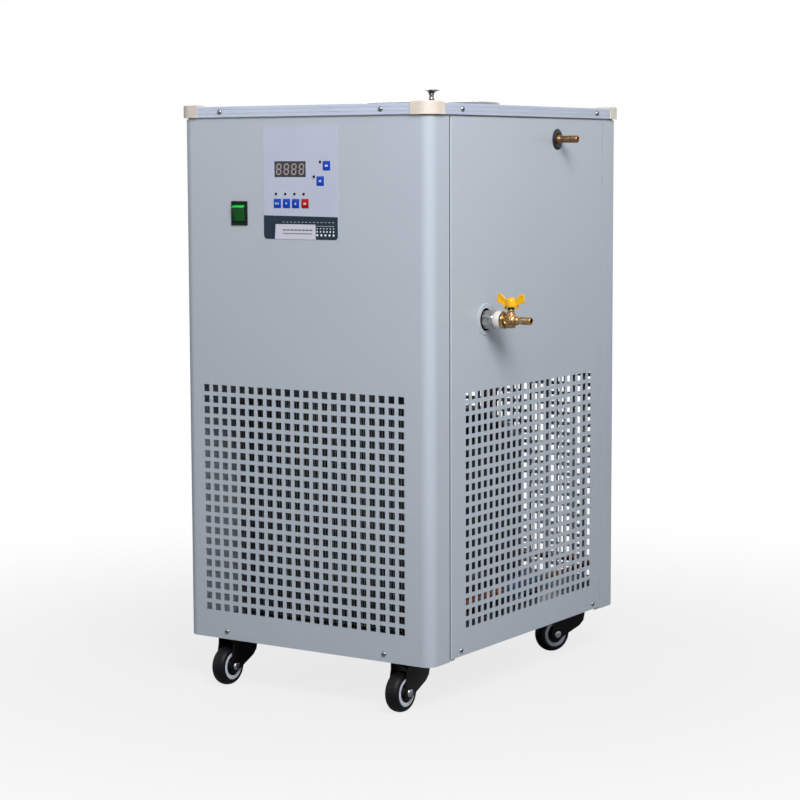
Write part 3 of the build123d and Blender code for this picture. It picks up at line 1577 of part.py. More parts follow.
for name, (side_x, side_y, turn) in castors.items():
    place = Location(
        (side_x * (right_x - castor_inset_x), side_y * (rear_y - castor_inset_y), 0), (0, 0, turn)
    )
    with BuildPart() as castor_fork:
        with Locations(place):
            add(fork_stock.part)
    castor_fork.part.label = f"{name}_fork"
    export_step(castor_fork.part, f"parts/{name}_fork.step")
    with BuildPart() as castor_wheel:
        with Locations(place):
            add(wheel_stock.part)
    castor_wheel.part.label = f"{name}_wheel"
    export_step(castor_wheel.part, f"parts/{name}_wheel.step")
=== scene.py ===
import json
import math

import bmesh
import bpy
from mathutils import Matrix, Vector


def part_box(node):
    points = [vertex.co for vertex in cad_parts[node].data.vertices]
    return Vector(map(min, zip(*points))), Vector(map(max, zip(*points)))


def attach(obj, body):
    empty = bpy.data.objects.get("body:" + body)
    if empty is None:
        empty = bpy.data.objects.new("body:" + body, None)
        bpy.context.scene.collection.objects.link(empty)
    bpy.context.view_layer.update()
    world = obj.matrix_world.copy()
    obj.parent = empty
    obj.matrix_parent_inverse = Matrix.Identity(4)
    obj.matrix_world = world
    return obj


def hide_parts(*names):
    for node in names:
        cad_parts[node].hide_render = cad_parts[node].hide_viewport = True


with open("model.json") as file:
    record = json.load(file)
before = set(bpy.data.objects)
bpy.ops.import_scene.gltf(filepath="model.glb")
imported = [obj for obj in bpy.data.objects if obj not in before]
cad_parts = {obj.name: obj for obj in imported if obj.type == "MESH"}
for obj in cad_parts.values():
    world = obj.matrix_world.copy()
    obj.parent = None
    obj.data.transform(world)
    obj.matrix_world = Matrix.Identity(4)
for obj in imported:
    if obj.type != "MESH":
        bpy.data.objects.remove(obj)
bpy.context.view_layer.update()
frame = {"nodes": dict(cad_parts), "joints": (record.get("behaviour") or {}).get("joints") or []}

# Camera
# It looks at the front right corner from a little above the middle of the cabinet, through a long
# lens, turned a fifth of a degree as the photograph is.
scene = bpy.context.scene
up = Vector((0, 0, 1))
lens_length = 98.85
film_width = 36.0
camera_spot = Vector((1.57295, -2.40257, 0.6661))
yaw = math.radians(33.416)
pitch = math.radians(6.216)
roll = math.radians(-0.2087)

camera = bpy.data.objects.new("camera", bpy.data.cameras.new("camera"))
camera.data.sensor_width = film_width
camera.data.lens = lens_length
scene.collection.objects.link(camera)
scene.camera = camera
sight = Vector((-math.sin(yaw) * math.cos(pitch), math.cos(yaw) * math.cos(pitch), -math.sin(pitch)))
level_right = sight.cross(up).normalized()
level_up = level_right.cross(sight)
picture_right = level_right * math.cos(roll) + level_up * math.sin(roll)
picture_up = level_up * math.cos(roll) - level_right * math.sin(roll)
turned_view = Matrix((picture_right, picture_up, -sight)).transposed()
camera.matrix_world = Matrix.Translation(camera_spot) @ turned_view.to_4x4()
scene.view_settings.view_transform = "Standard"

# Floor and light
# A white studio: the floor keeps a faint shadow near the object and is plain white further out. The
# main lamp is high above the front right corner, so that the corner is brightest and the foot darker.
# Weaker lamps stand to the left, right and rear, and the room adds an even light.


def linear(colour):
    """An sRGB hex value as a linear colour."""
    shares = [int(colour[i:i + 2], 16) / 255 for i in (1, 3, 5)]
    return [s / 12.92 if s <= 0.04045 else ((s + 0.055) / 1.055) ** 2.4 for s in shares] + [1.0]


def add_node(tree, kind, sockets=None, **settings):
    """Adds a node with its settings, and with its sockets' values or links."""
    made = tree.nodes.new(kind)
    for name, value in settings.items():
        setattr(made, name, value)
    for name, value in (sockets or {}).items():
        if isinstance(value, bpy.types.NodeSocket):
            tree.links.new(value, made.inputs[name])
        else:
            made.inputs[name].default_value = value
    return made


floor_half = 9.0
shadow_reach = 0.25
white_reach = 1.3
near_white = 0.8
floor_grey = "#A9AAAC"
room_colour = "#F1F3F6"
room_strength = 0.2
lamps = {
    "main_lamp": ((1.42, -1.38, 1.86), 1.0, 57.0),
    "left_lamp": ((-1.6, -2.4, 1.3), 1.4, 6.0),
    "right_lamp": ((2.2, -0.6, 2.2), 0.7, 8.0),
    "rear_lamp": ((-2.0, 2.2, 1.5), 1.4, 22.0),
}
lamp_target = Vector((0, 0, 0.45))

floor_mesh = bpy.data.meshes.new("floor")
floor_mesh.from_pydata(
    [(x * floor_half, y * floor_half, 0) for x, y in ((-1, -1), (1, -1), (1, 1), (-1, 1))],
    [],
    [(0, 1, 2, 3)],
)
floor = bpy.data.objects.new("floor", floor_mesh)
scene.collection.objects.link(floor)
studio_floor = bpy.data.materials.new("matt_white_floor")
studio_floor.use_nodes = True
tree = studio_floor.node_tree
tree.nodes.clear()
place = add_node(tree, "ShaderNodeTexCoord").outputs["Object"]
distance = add_node(tree, "ShaderNodeVectorMath", {0: place}, operation="LENGTH").outputs["Value"]
whiten = add_node(
    tree, "ShaderNodeMapRange", {"Value": distance, "From Min": shadow_reach, "From Max": white_reach},
    interpolation_type="SMOOTHSTEP",
).outputs[0]
seen = add_node(tree, "ShaderNodeLightPath").outputs["Is Camera Ray"]
base_white = add_node(
    tree, "ShaderNodeMapRange", {"Value": whiten, "To Min": near_white, "To Max": 1.0}
).outputs[0]
share = add_node(tree, "ShaderNodeMath", {0: base_white, 1: seen}, operation="MULTIPLY").outputs[0]
matt = add_node(tree, "ShaderNodeBsdfDiffuse", {"Color": linear(floor_grey)}).outputs[0]
plain = add_node(tree, "ShaderNodeEmission", {"Color": (1, 1, 1, 1), "Strength": 1.0}).outputs[0]
mixed = add_node(tree, "ShaderNodeMixShader", {0: share, 1: matt, 2: plain}).outputs[0]
add_node(tree, "ShaderNodeOutputMaterial", {"Surface": mixed})
floor_mesh.materials.append(studio_floor)

world = bpy.data.worlds.new("studio")
scene.world = world
world.use_nodes = True
tree = world.node_tree
tree.nodes.clear()
path = add_node(tree, "ShaderNodeLightPath").outputs
either = path["Is Camera Ray"]
for ray in ("Is Glossy Ray", "Is Transmission Ray"):
    either = add_node(tree, "ShaderNodeMath", {0: either, 1: path[ray]}, operation="MAXIMUM").outputs[0]
room = add_node(
    tree, "ShaderNodeBackground", {"Color": linear(room_colour), "Strength": room_strength}
).outputs[0]
backdrop = add_node(tree, "ShaderNodeBackground", {"Color": (1, 1, 1, 1), "Strength": 1.0}).outputs[0]
shown = add_node(tree, "ShaderNodeMixShader", {0: either, 1: room, 2: backdrop}).outputs[0]
add_node(tree, "ShaderNodeOutputWorld", {"Surface": shown})

for name, (spot, size, power) in lamps.items():
    lamp = bpy.data.objects.new(name, bpy.data.lights.new(name, "AREA"))
    lamp.data.size = size
    lamp.data.energy = power
    lamp.location = spot
    lamp.rotation_euler = (lamp_target - Vector(spot)).to_track_quat("-Z", "Y").to_euler()
    scene.collection.objects.link(lamp)

# Cabinet covers and side panels
# Punched and folded steel sheet under a pale blue-grey powder coat. Its faint orange peel is drawn
# coarser than the real 1.5 mm so that it shows, and the coat is drawn a little darker near the foot.
# The side panels are screwed on; their front edge is rolled over, and a dark strip of painted shade
# fills the seam beside it.
nodes = frame["nodes"]
mm = 0.001
ahead = Vector((0, -1, 0))
right = Vector((1, 0, 0))


def make_finish(
    name, colour, tint, roughness, swing, grain, relief, metallic=0.0, stretch=(1, 1, 1), patch=70.0
):
    """A material of two close colours in soft patches, with a grain in its gloss and its relief.

    Swing is how far the roughness strays either way. Grain, relief and patch are sizes in
    millimetres, and stretch draws the grain out into lines.
    """
    finish = bpy.data.materials.new(name)
    finish.use_nodes = True
    tree = finish.node_tree
    shader = tree.nodes["Principled BSDF"]
    shader.inputs["Metallic"].default_value = metallic
    place = add_node(tree, "ShaderNodeTexCoord").outputs["Object"]
    drawn = add_node(tree, "ShaderNodeMapping", {"Vector": place, "Scale": stretch}).outputs[0]
    patches = add_node(
        tree, "ShaderNodeTexNoise", {"Vector": place, "Scale": 1000 / patch, "Detail": 4.0}
    ).outputs[0]
    grains = add_node(
        tree, "ShaderNodeTexNoise", {"Vector": drawn, "Scale": 1000 / grain, "Detail": 3.0}
    ).outputs[0]
    spread = add_node(
        tree, "ShaderNodeMapRange", {"Value": patches, "From Min": 0.3, "From Max": 0.7}
    ).outputs[0]
    base = add_node(
        tree, "ShaderNodeMix", {0: spread, 6: linear(colour), 7: linear(tint)}, data_type="RGBA"
    )
    base.name = "base"
    gloss = add_node(
        tree,
        "ShaderNodeMapRange",
        {
            "Value": grains, "From Min": 0.3, "From Max": 0.7,
            "To Min": roughness - swing, "To Max": roughness + swing,
        },
    ).outputs[0]
    bump = add_node(tree, "ShaderNodeBump", {"Height": grains, "Distance": relief * mm}).outputs[0]
    tree.links.new(base.outputs[2], shader.inputs["Base Color"])
    tree.links.new(gloss, shader.inputs["Roughness"])
    tree.links.new(bump, shader.inputs["Normal"])
    return finish


def set_shader(finish, **values):
    """Sets plain values on a material's shader; an underscore stands for a space."""
    for name, value in values.items():
        finish.node_tree.nodes["Principled BSDF"].inputs[name.replace("_", " ")].default_value = value
    return finish


def dress(piece, body, slot, *stands_for):
    """Puts a finished piece on its body and hides the nodes that it stands for; its slot is not used."""
    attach(piece, body)
    if stands_for:
        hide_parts(*stands_for)
    return piece


def cover_nodes(finish, *names):
    """Gives CAD nodes a finish."""
    for name in names:
        nodes[name].material_slots[0].material = finish


def sharpen(mesh, angle=35.0):
    """Smooth faces, with the edges sharper than an angle kept crisp."""
    mesh.polygons.foreach_set("use_smooth", [True] * len(mesh.polygons))
    mesh.set_sharp_from_angle(angle=math.radians(angle))


def show(name, mesh, *finishes, angle=35.0):
    """A linked object of a mesh and its finishes."""
    for finish in finishes:
        mesh.materials.append(finish)
    sharpen(mesh, angle)
    piece = bpy.data.objects.new(name, mesh)
    scene.collection.objects.link(piece)
    return piece


def to_mesh(name, shape):
    """The mesh of a finished bmesh, with its faces turned outwards."""
    bmesh.ops.recalc_face_normals(shape, faces=shape.faces)
    mesh = bpy.data.meshes.new(name)
    shape.to_mesh(mesh)
    shape.free()
    return mesh


def prism(name, outline, origin, across, upward, reach, *finishes):
    """A closed solid: an outline in millimetres, drawn on a plane and pushed out by a reach."""
    push = across.cross(upward) * reach * mm
    shape = bmesh.new()
    low = [shape.verts.new(origin + across * x * mm + upward * y * mm) for x, y in outline]
    high = [shape.verts.new(v.co + push) for v in low]
    shape.faces.new(low)
    shape.faces.new(reversed(high))
    for i, corner in enumerate(low):
        j = (i + 1) % len(low)
        shape.faces.new((corner, high[i], high[j], low[j]))
    return show(name, to_mesh(name, shape), *finishes)


powder_coat = make_finish(
    "powder_coat", "#B2BBC5", "#AFB8C2", roughness=0.36, swing=0.04, grain=3.2, relief=0.03, patch=160.0
)
set_shader(powder_coat, Specular_IOR_Level=0.5, Coat_Weight=0.12, Coat_Roughness=0.3)
# The coat is drawn darker towards the foot: a dull grey is mixed into its colour, fading out by 0.42 m.
foot_darkening_colour = "#858A90"
darkening_foot = 0.05
darkening_top = 0.42
darkening_share = 0.1
tree = powder_coat.node_tree
height = add_node(
    tree, "ShaderNodeSeparateXYZ", {0: add_node(tree, "ShaderNodeTexCoord").outputs["Object"]}
).outputs["Z"]
foot_darkening = add_node(
    tree,
    "ShaderNodeMapRange",
    {"Value": height, "From Min": darkening_foot, "From Max": darkening_top, "To Min": darkening_share, "To Max": 0.0},
).outputs[0]
darkened_coat = add_node(
    tree,
    "ShaderNodeMix",
    {0: foot_darkening, 6: tree.nodes["base"].outputs[2], 7: linear(foot_darkening_colour)},
    data_type="RGBA",
)
tree.links.new(darkened_coat.outputs[2], tree.nodes["Principled BSDF"].inputs["Base Color"])
cover_nodes(powder_coat, "front_cover", "rear_cover")

edge_roll = 1.9
roll_steps = 8
edge_set_back = 1.9
seam_gap = 1.6
shade_strip_sunk = 1.1
shade_strip_wall = 0.15
weld_reach = 0.001
edge_reach = 0.01
# The dark strip sunk in the seam is painted shade: a dark sheet put in the gap so that it shows as dark as
# its shadow.
seam_shade_finish = make_finish(
    "painted_seam_shade_sheet", "#3A4047", "#33383F",
    roughness=0.6, swing=0.05, grain=1.5, relief=0.02, patch=20.0,
)
set_shader(seam_shade_finish, Specular_IOR_Level=0.1)
for node in ("left_side_panel", "right_side_panel"):
    node_low, node_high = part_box(node)
    side = 1 if node_high.x > 0 else -1
    outer = max(node_high.x, -node_low.x)
    panel_height = (node_high.z - node_low.z) / mm
    shape = bmesh.new()
    shape.from_mesh(nodes[node].data)
    shape.transform(nodes[node].matrix_world)
    bmesh.ops.remove_doubles(shape, verts=shape.verts, dist=weld_reach * mm)
    for vertex in shape.verts:
        if abs(vertex.co.y - node_low.y) < edge_reach * mm:
            vertex.co.y += (edge_set_back + edge_roll) * mm
    sheet_mesh = bpy.data.meshes.new(node)
    shape.to_mesh(sheet_mesh)
    shape.free()
    sheet_piece = show("coated_" + node, sheet_mesh, powder_coat)
    sheet_mesh.polygons.foreach_set("use_smooth", [False] * len(sheet_mesh.polygons))
    dress(sheet_piece, "cabinet", "cabinet_paint", node)
    roll_angles = [math.radians(90 * k / roll_steps) for k in range(roll_steps + 1)]
    roll_line = [
        (edge_roll * (1 - math.cos(a)), side * edge_roll * (math.sin(a) - 1)) for a in roll_angles
    ] + [(edge_roll, -side * edge_roll)]
    roll_start = Vector((side * outer, node_low.y + edge_set_back * mm, node_high.z))
    rolled_edge = prism(
        "rolled_edge_of_" + node, roll_line, roll_start, -ahead, right, panel_height, powder_coat
    )
    dress(rolled_edge, "cabinet", "cabinet_paint", node)
    strip_width = seam_gap + edge_set_back
    strip_line = [(0, 0), (strip_width, 0), (strip_width, shade_strip_wall), (0, shade_strip_wall)]
    strip_start = Vector((
        side * (outer - shade_strip_sunk * mm) - (shade_strip_wall * mm if side > 0 else 0),
        node_low.y - seam_gap * mm,
        node_high.z,
    ))
    strip = prism("seam_gasket", strip_line, strip_start, -ahead, right, panel_height, seam_shade_finish)
    dress(strip, "cabinet", "grommet_rubber")

# Base pan, middle shelf and top tray
# Folded steel sheet. The pan and the shelf are bare galvanised sheet with its large dull spangles;
# the tray on top has the cabinet's coat in a lighter shade.
galvanised = make_finish(
    "galvanised_sheet", "#8F959A", "#A9AEB2",
    roughness=0.42, swing=0.1, grain=9.0, relief=0.02, metallic=0.85, patch=14.0,
)
cover_nodes(galvanised, "base_plate", "middle_shelf")
tray_coat = make_finish(
    "tray_powder_coat", "#CFD4D9", "#C8CED3", roughness=0.4, swing=0.05, grain=3.2, relief=0.03, patch=120.0
)
cover_nodes(tray_coat, "top_plate")

# Top trims
# Extruded aluminium edge strips, anodised in a bluish white, with two shallow grooves along their
# face. They are mitred under the corner caps and screwed to the tray.
trim_groove = 0.3
trim_groove_width = 0.9
trim_groove_shares = (0.3, 0.68)
trim_edge = 0.5
trim_lip = 12.5
trim_lip_wall = 1.2
trim_leg_wall = 1.8
trim_hook = 2.8
trim_hook_wall = 1.5
trim_names = {"front_rear_trims": ("front_trim", "rear_trim"), "side_trims": ("left_trim", "right_trim")}
anodised = make_finish(
    "anodised_aluminium", "#BCC5D6", "#B4BED0",
    roughness=0.34, swing=0.06, grain=1.6, relief=0.004, metallic=0.3, stretch=(0.05, 0.05, 1.0),
)
for node, names in trim_names.items():
    node_low, node_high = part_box(node)
    along_x = node == "front_rear_trims"
    reach = (node_high.x if along_x else node_high.y) * 2 / mm
    trim_face = node_high.y if along_x else node_high.x
    trim_height = (node_high.z - node_low.z) / mm
    face_line = [(0, 0)]
    for share in trim_groove_shares:
        middle = share * trim_height
        face_line += [
            (0, middle - trim_groove_width / 2),
            (-trim_groove, middle - trim_groove_width / 4),
            (-trim_groove, middle + trim_groove_width / 4),
            (0, middle + trim_groove_width / 2),
        ]
    trim_line = face_line + [
        (0, trim_height - trim_edge),
        (-trim_edge, trim_height),
        (-trim_lip, trim_height),
        (-trim_lip, trim_height - trim_lip_wall),
        (-trim_leg_wall, trim_height - trim_lip_wall),
        (-trim_leg_wall, trim_hook_wall),
        (-trim_leg_wall - trim_hook, trim_hook_wall),
        (-trim_leg_wall - trim_hook, 0),
    ]
    for side, name in zip((-1, 1), names):
        outward = Vector((0, side, 0)) if along_x else Vector((side, 0, 0))
        run = outward.cross(up)
        start = outward * trim_face + up * node_low.z - run * reach / 2 * mm
        trim = prism(name, trim_line, start, outward, up, reach, anodised)
        dress(trim, "cabinet", "trim_aluminium", node)

# Corner caps
# Moulded cream plastic caps, pushed over the ends of the trims. Their surface has a fine mould grain
# that scatters the light, and the colour is a little darker where the wall is thin.
cap_plastic = make_finish(
    "moulded_cream_abs", "#DCD2C7", "#D4C9BD",
    roughness=0.46, swing=0.05, grain=1.5, relief=0.02, patch=25.0,
)
set_shader(cap_plastic, Subsurface_Weight=0.15, Subsurface_Scale=0.002)
cover_nodes(cap_plastic, "corner_caps")

# Cabinet screws
# Nickel-plated pan head screws with a cross recess, turned home at any angle. Each one shows a dark
# cross and one bright spot of the lamp. One screw is drawn at a diameter of one and set sixteen times.


def settle(piece, angle=35.0):
    """Turns a piece and its modifiers into a plain mesh."""
    graph = bpy.context.evaluated_depsgraph_get()
    mesh = bpy.data.meshes.new_from_object(piece.evaluated_get(graph), depsgraph=graph)
    piece.modifiers.clear()
    piece.data = mesh
    sharpen(mesh, angle)
    return piece


def set_on_points_tree():
    """Geometry nodes that set a pattern on each point, facing out, turned and sized as asked."""
    tree = bpy.data.node_groups.new("set_on_points", "GeometryNodeTree")
    for label, kind in (
        ("Places", "Geometry"), ("Pattern", "Object"), ("Size", "Float"),
        ("Random turn", "Float"), ("Seed", "Int"), ("Finish", "Material"),
    ):
        tree.interface.new_socket(label, in_out="INPUT", socket_type="NodeSocket" + kind)
    tree.interface.new_socket("Set pieces", in_out="OUTPUT", socket_type="NodeSocketGeometry")
    given = add_node(tree, "NodeGroupInput").outputs
    facing = add_node(
        tree, "GeometryNodeInputNamedAttribute", {"Name": "facing"}, data_type="FLOAT_VECTOR"
    ).outputs[0]
    turn = add_node(tree, "GeometryNodeInputNamedAttribute", {"Name": "turn"}, data_type="FLOAT").outputs[0]
    share = add_node(tree, "GeometryNodeInputNamedAttribute", {"Name": "share"}, data_type="FLOAT").outputs[0]
    upright = add_node(
        tree, "FunctionNodeAlignRotationToVector", {"Vector": facing}, axis="Z", pivot_axis="AUTO"
    ).outputs[0]
    chance = add_node(
        tree, "FunctionNodeRandomValue", {2: 0.0, 3: given["Random turn"], "Seed": given["Seed"]}
    ).outputs[1]
    whole_turn = add_node(tree, "ShaderNodeMath", {0: turn, 1: chance}, operation="ADD").outputs[0]
    spin = add_node(
        tree, "FunctionNodeAxisAngleToRotation", {"Axis": (0, 0, 1), "Angle": whole_turn}
    ).outputs[0]
    both = add_node(
        tree, "FunctionNodeRotateRotation", {0: upright, 1: spin}, rotation_space="LOCAL"
    ).outputs[0]
    sized = add_node(tree, "ShaderNodeMath", {0: share, 1: given["Size"]}, operation="MULTIPLY").outputs[0]
    pattern = add_node(tree, "GeometryNodeObjectInfo", {"Object": given["Pattern"]}).outputs["Geometry"]
    copies = add_node(
        tree,
        "GeometryNodeInstanceOnPoints",
        {"Points": given["Places"], "Instance": pattern, "Rotation": both, "Scale": sized},
    ).outputs[0]
    real = add_node(tree, "GeometryNodeRealizeInstances", {0: copies}).outputs[0]
    painted = add_node(
        tree, "GeometryNodeSetMaterial", {"Geometry": real, "Material": given["Finish"]}
    ).outputs[0]
    add_node(tree, "NodeGroupOutput", {0: painted})
    return tree


point_tree = set_on_points_tree()


def set_on_points(name, pattern, places, size, finish, random_turn=0.0, seed=1):
    """A plain mesh of one pattern on each place: (point, facing, turn, share of the size)."""
    mesh = bpy.data.meshes.new(name)
    mesh.from_pydata([spot for spot, facing, turn, share in places], [], [])
    facings = mesh.attributes.new("facing", "FLOAT_VECTOR", "POINT")
    facings.data.foreach_set("vector", [c for spot, facing, turn, share in places for c in facing])
    for label, index in (("turn", 2), ("share", 3)):
        values = mesh.attributes.new(label, "FLOAT", "POINT")
        values.data.foreach_set("value", [float(place[index]) for place in places])
    piece = bpy.data.objects.new(name, mesh)
    scene.collection.objects.link(piece)
    modifier = piece.modifiers.new("set", "NODES")
    modifier.node_group = point_tree
    given = {
        "Pattern": pattern, "Size": size, "Random turn": random_turn, "Seed": seed, "Finish": finish,
    }
    for socket in point_tree.interface.items_tree:
        if socket.in_out == "INPUT" and socket.name in given:
            modifier[socket.identifier] = given[socket.name]
    settle(piece)
    bpy.data.objects.remove(pattern)
    return piece


def eased(points, ease, steps=4, closed=False):
    """An outline with each corner drawn as a small curve that starts an ease away from it."""
    result = []
    count = len(points)
    for i, corner in enumerate(points):
        if not closed and i in (0, count - 1):
            result.append(tuple(corner))
            continue
        here = Vector(corner)
        before = Vector(points[i - 1])
        after = Vector(points[(i + 1) % count])
        start = here + (before - here).normalized() * min(ease, 0.45 * (before - here).length)
        end = here + (after - here).normalized() * min(ease, 0.45 * (after - here).length)
        for k in range(steps + 1):
            t = k / steps
            result.append(tuple(start * (1 - t) ** 2 + here * 2 * t * (1 - t) + end * t**2))
    return result


def turned(name, outline, origin, axis, *finishes, segments=72, closed=False, bands=()):
    """A piece turned on a lathe: an outline of (radius, height) in millimetres round an axis.

    Bands give the finish by radius: each is (least radius, most radius, index of the finish).
    """
    side = axis.orthogonal().normalized()
    other = axis.cross(side)
    shape = bmesh.new()
    rings = []
    for radius, height in outline:
        foot = origin + axis * height * mm
        if radius < 1e-6:
            rings.append([shape.verts.new(foot)])
            continue
        rings.append([
            shape.verts.new(foot + (side * math.cos(a) + other * math.sin(a)) * radius * mm)
            for a in (2 * math.pi * k / segments for k in range(segments))
        ])
    pairs = list(zip(rings, rings[1:]))
    if closed:
        pairs.append((rings[-1], rings[0]))
    for first, second in pairs:
        for k in range(segments):
            n = (k + 1) % segments
            corners = [first[k % len(first)], first[n % len(first)]]
            corners += [second[n % len(second)], second[k % len(second)]]
            corners = list(dict.fromkeys(corners))
            if len(corners) > 2:
                shape.faces.new(corners)
    for face in shape.faces:
        off = face.calc_center_median() - origin
        reach = (off - axis * off.dot(axis)).length / mm
        for least, most, index in bands:
            if least <= reach <= most:
                face.material_index = index
    return show(name, to_mesh(name, shape), *finishes)


def cut_out(piece, cutter):
    """Takes a cutter's shape out of a piece, and removes the cutter."""
    cut = piece.modifiers.new("cut", "BOOLEAN")
    cut.operation = "DIFFERENCE"
    cut.object = cutter
    settle(piece)
    bpy.data.objects.remove(cutter)


def to_unit(outline):
    """An outline in shares of its own width, for a pattern that is one metre across."""
    return [(x * unit, y * unit) for x, y in outline]


screw_head = 6.6
screw_dome = 2.3
screw_recess = 0.56
screw_slot = 0.15
recess_floor = 0.35
trim_proud = 2.5
screw_levels = ((72.0, 0.0), (727.0, trim_proud))
half_depth = 232.5
half_width = 185.0
spots_across = (-123.3, 116.7)
spots_along = (-165.45, 170.05)
plated_steel = make_finish(
    "nickel_plated_steel", "#97999C", "#7E8083",
    roughness=0.17, swing=0.05, grain=0.6, relief=0.004, metallic=1.0, patch=2.0,
)
unit = 1 / mm
dome = screw_dome / screw_head
head_outline = eased([(0.5, 0.0), (0.5, 0.3 * dome), (0.36, 0.8 * dome), (0.0, dome)], 0.12)
head = turned("screw_head", to_unit([(0.0, 0.0)] + head_outline), Vector(), up, segments=32)
for half_x, half_y in ((screw_recess / 2, screw_slot / 2), (screw_slot / 2, screw_recess / 2)):
    slot_line = to_unit([(-half_x, -half_y), (half_x, -half_y), (half_x, half_y), (-half_x, half_y)])
    cut_out(head, prism("slot", slot_line, up * dome * recess_floor, right, -ahead, unit))
screws = []
for face in (-1, 1):
    for level, proud in screw_levels:
        for across in spots_across:
            spot = Vector((across, face * (half_depth + proud), level)) * mm
            screws.append((spot, Vector((0, face, 0)), 0.0, 1.0))
        for along in spots_along:
            spot = Vector((face * (half_width + proud), along, level)) * mm
            screws.append((spot, Vector((face, 0, 0)), 0.0, 1.0))
cabinet_screws = set_on_points(
    "cabinet_screw_heads", head, screws, screw_head * mm, plated_steel, random_turn=math.pi / 2, seed=7
)
dress(cabinet_screws, "cabinet", "screw_steel", "cabinet_screws")

# Tank, lid and knob
# The tank is a drawn stainless pot. The lid is a spun disc with a rolled rim, and its fine rings come
# from the spinning; the knob is a turned and polished mushroom on a waisted stem.
spun_steel = make_finish(
    "spun_stainless_steel", "#A7A9AC", "#94979A",
    roughness=0.22, swing=0.06, grain=2.0, relief=0.003, metallic=1.0, patch=30.0,
)
spin_scale = 190.0
spin_relief = 0.02
tree = spun_steel.node_tree
lid_low, lid_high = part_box("tank_lid")
lid_middle = (lid_low + lid_high) / 2
centred = add_node(
    tree,
    "ShaderNodeMapping",
    {"Vector": add_node(tree, "ShaderNodeTexCoord").outputs["Object"], "Location": -lid_middle},
).outputs[0]
spinning = add_node(
    tree,
    "ShaderNodeTexWave",
    {"Vector": centred, "Scale": spin_scale, "Distortion": 1.2, "Detail": 2.0, "Detail Scale": 3.0},
    wave_type="RINGS",
    rings_direction="Z",
).outputs["Fac"]
ring_bump = add_node(tree, "ShaderNodeBump", {"Height": spinning, "Distance": spin_relief * mm}).outputs[0]
tree.links.new(ring_bump, tree.nodes["Principled BSDF"].inputs["Normal"])
cover_nodes(spun_steel, "tank")
lid_foot = Vector((lid_middle.x, lid_middle.y, lid_low.z))
lid_radius = (lid_high.x - lid_low.x) / 2 / mm
lid_height = (lid_high.z - lid_low.z) / mm
lid_crown = 2.5
lid_wall = 1.2
outer_line = [
    (lid_radius - lid_wall, 0.0),
    (lid_radius, 0.0),
    (lid_radius, lid_height - lid_crown),
    (0.8 * lid_radius, lid_height - 0.45 * lid_crown),
    (0.5 * lid_radius, lid_height - 0.1 * lid_crown),
    (0.0, lid_height),
]
inner_line = [
    (0.0, lid_height - lid_wall),
    (0.8 * lid_radius, lid_height - 0.45 * lid_crown - lid_wall),
    (lid_radius - lid_wall, lid_height - lid_crown - lid_wall),
    (lid_radius - lid_wall, 0.0),
]
lid_outline = eased(outer_line, 1.6, steps=6) + eased(inner_line, 1.0)[:-1]
lid = turned("spun_lid", lid_outline, lid_foot, up, spun_steel, segments=128, closed=True)
dress(lid, "cabinet", "tank_steel", "tank_lid")

knob_low, knob_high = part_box("lid_knob")
knob_height = (knob_high.z - knob_low.z) / mm
knob_radius = (knob_high.x - knob_low.x) / 2 / mm
knob_line = [
    (0.0, 0.0), (4.75, 0.0), (4.75, 0.07), (3.6, 0.16), (3.05, 0.34), (3.1, 0.5),
    (3.9, 0.66), (6.6, 0.78), (knob_radius, 0.84), (knob_radius, 0.87), (7.0, 0.945), (3.2, 0.99), (0.0, 1.0),
]
knob_line = [(r, h * knob_height) for r, h in knob_line]
polished_steel = make_finish(
    "polished_steel", "#7F7C7A", "#615D5A",
    roughness=0.12, swing=0.04, grain=1.2, relief=0.003, metallic=1.0, patch=6.0,
)
knob_foot = Vector(((knob_low.x + knob_high.x) / 2, (knob_low.y + knob_high.y) / 2, knob_low.z))
knob = turned("polished_knob", eased(knob_line, 0.8), knob_foot, up, polished_steel)
dress(knob, "cabinet", "tank_steel", "lid_knob")

# Outlet ring and coupling
# A pale moulded ring lines the hole in the side panel. The coupling through it is stainless bar with
# eight flats and turned ends, dulled by handling.


def hex_bar(name, sides, across, start, end, chamfer, origin, axis, *finishes, turn=0.0):
    """A bar of flat sides with its ends turned down to a cone, along an axis, in millimetres."""
    steps = sides * 10
    side = Matrix.Rotation(turn, 3, axis) @ axis.orthogonal().normalized()
    other = axis.cross(side)
    corner = across / 2 / math.cos(math.pi / sides)
    low_radius = across / 2 - 0.2
    cone_radius = (across / 2 + corner) / 2
    stations = [
        (start, low_radius), (start + chamfer / 2, cone_radius), (start + chamfer, corner),
        (end - chamfer, corner), (end - chamfer / 2, cone_radius), (end, low_radius),
    ]
    shape = bmesh.new()
    rings = []
    for height, limit in stations:
        ring = []
        for k in range(steps):
            angle = 2 * math.pi * k / steps
            off = (angle % (2 * math.pi / sides)) - math.pi / sides
            radius = min(across / 2 / math.cos(off), limit)
            spoke = (side * math.cos(angle) + other * math.sin(angle)) * radius * mm
            ring.append(shape.verts.new(origin + axis * height * mm + spoke))
        rings.append(ring)
    for first, second in zip(rings, rings[1:]):
        for k in range(steps):
            n = (k + 1) % steps
            shape.faces.new((first[k], first[n], second[n], second[k]))
    shape.faces.new(rings[0])
    shape.faces.new(rings[-1])
    return show(name, to_mesh(name, shape), *finishes, angle=24.0)


def join(name, *pieces):
    """One piece of several, with the first one's finishes first."""
    shape = bmesh.new()
    finishes = []
    for piece in pieces:
        for finish in piece.data.materials:
            if finish not in finishes:
                finishes.append(finish)
        start = len(shape.faces)
        shape.from_mesh(piece.data)
        shape.faces.ensure_lookup_table()
        for face in shape.faces[start:]:
            face.material_index = finishes.index(piece.data.materials[face.material_index])
    mesh = bpy.data.meshes.new(name)
    shape.to_mesh(mesh)
    shape.free()
    for piece in pieces:
        bpy.data.objects.remove(piece)
    return show(name, mesh, *finishes)


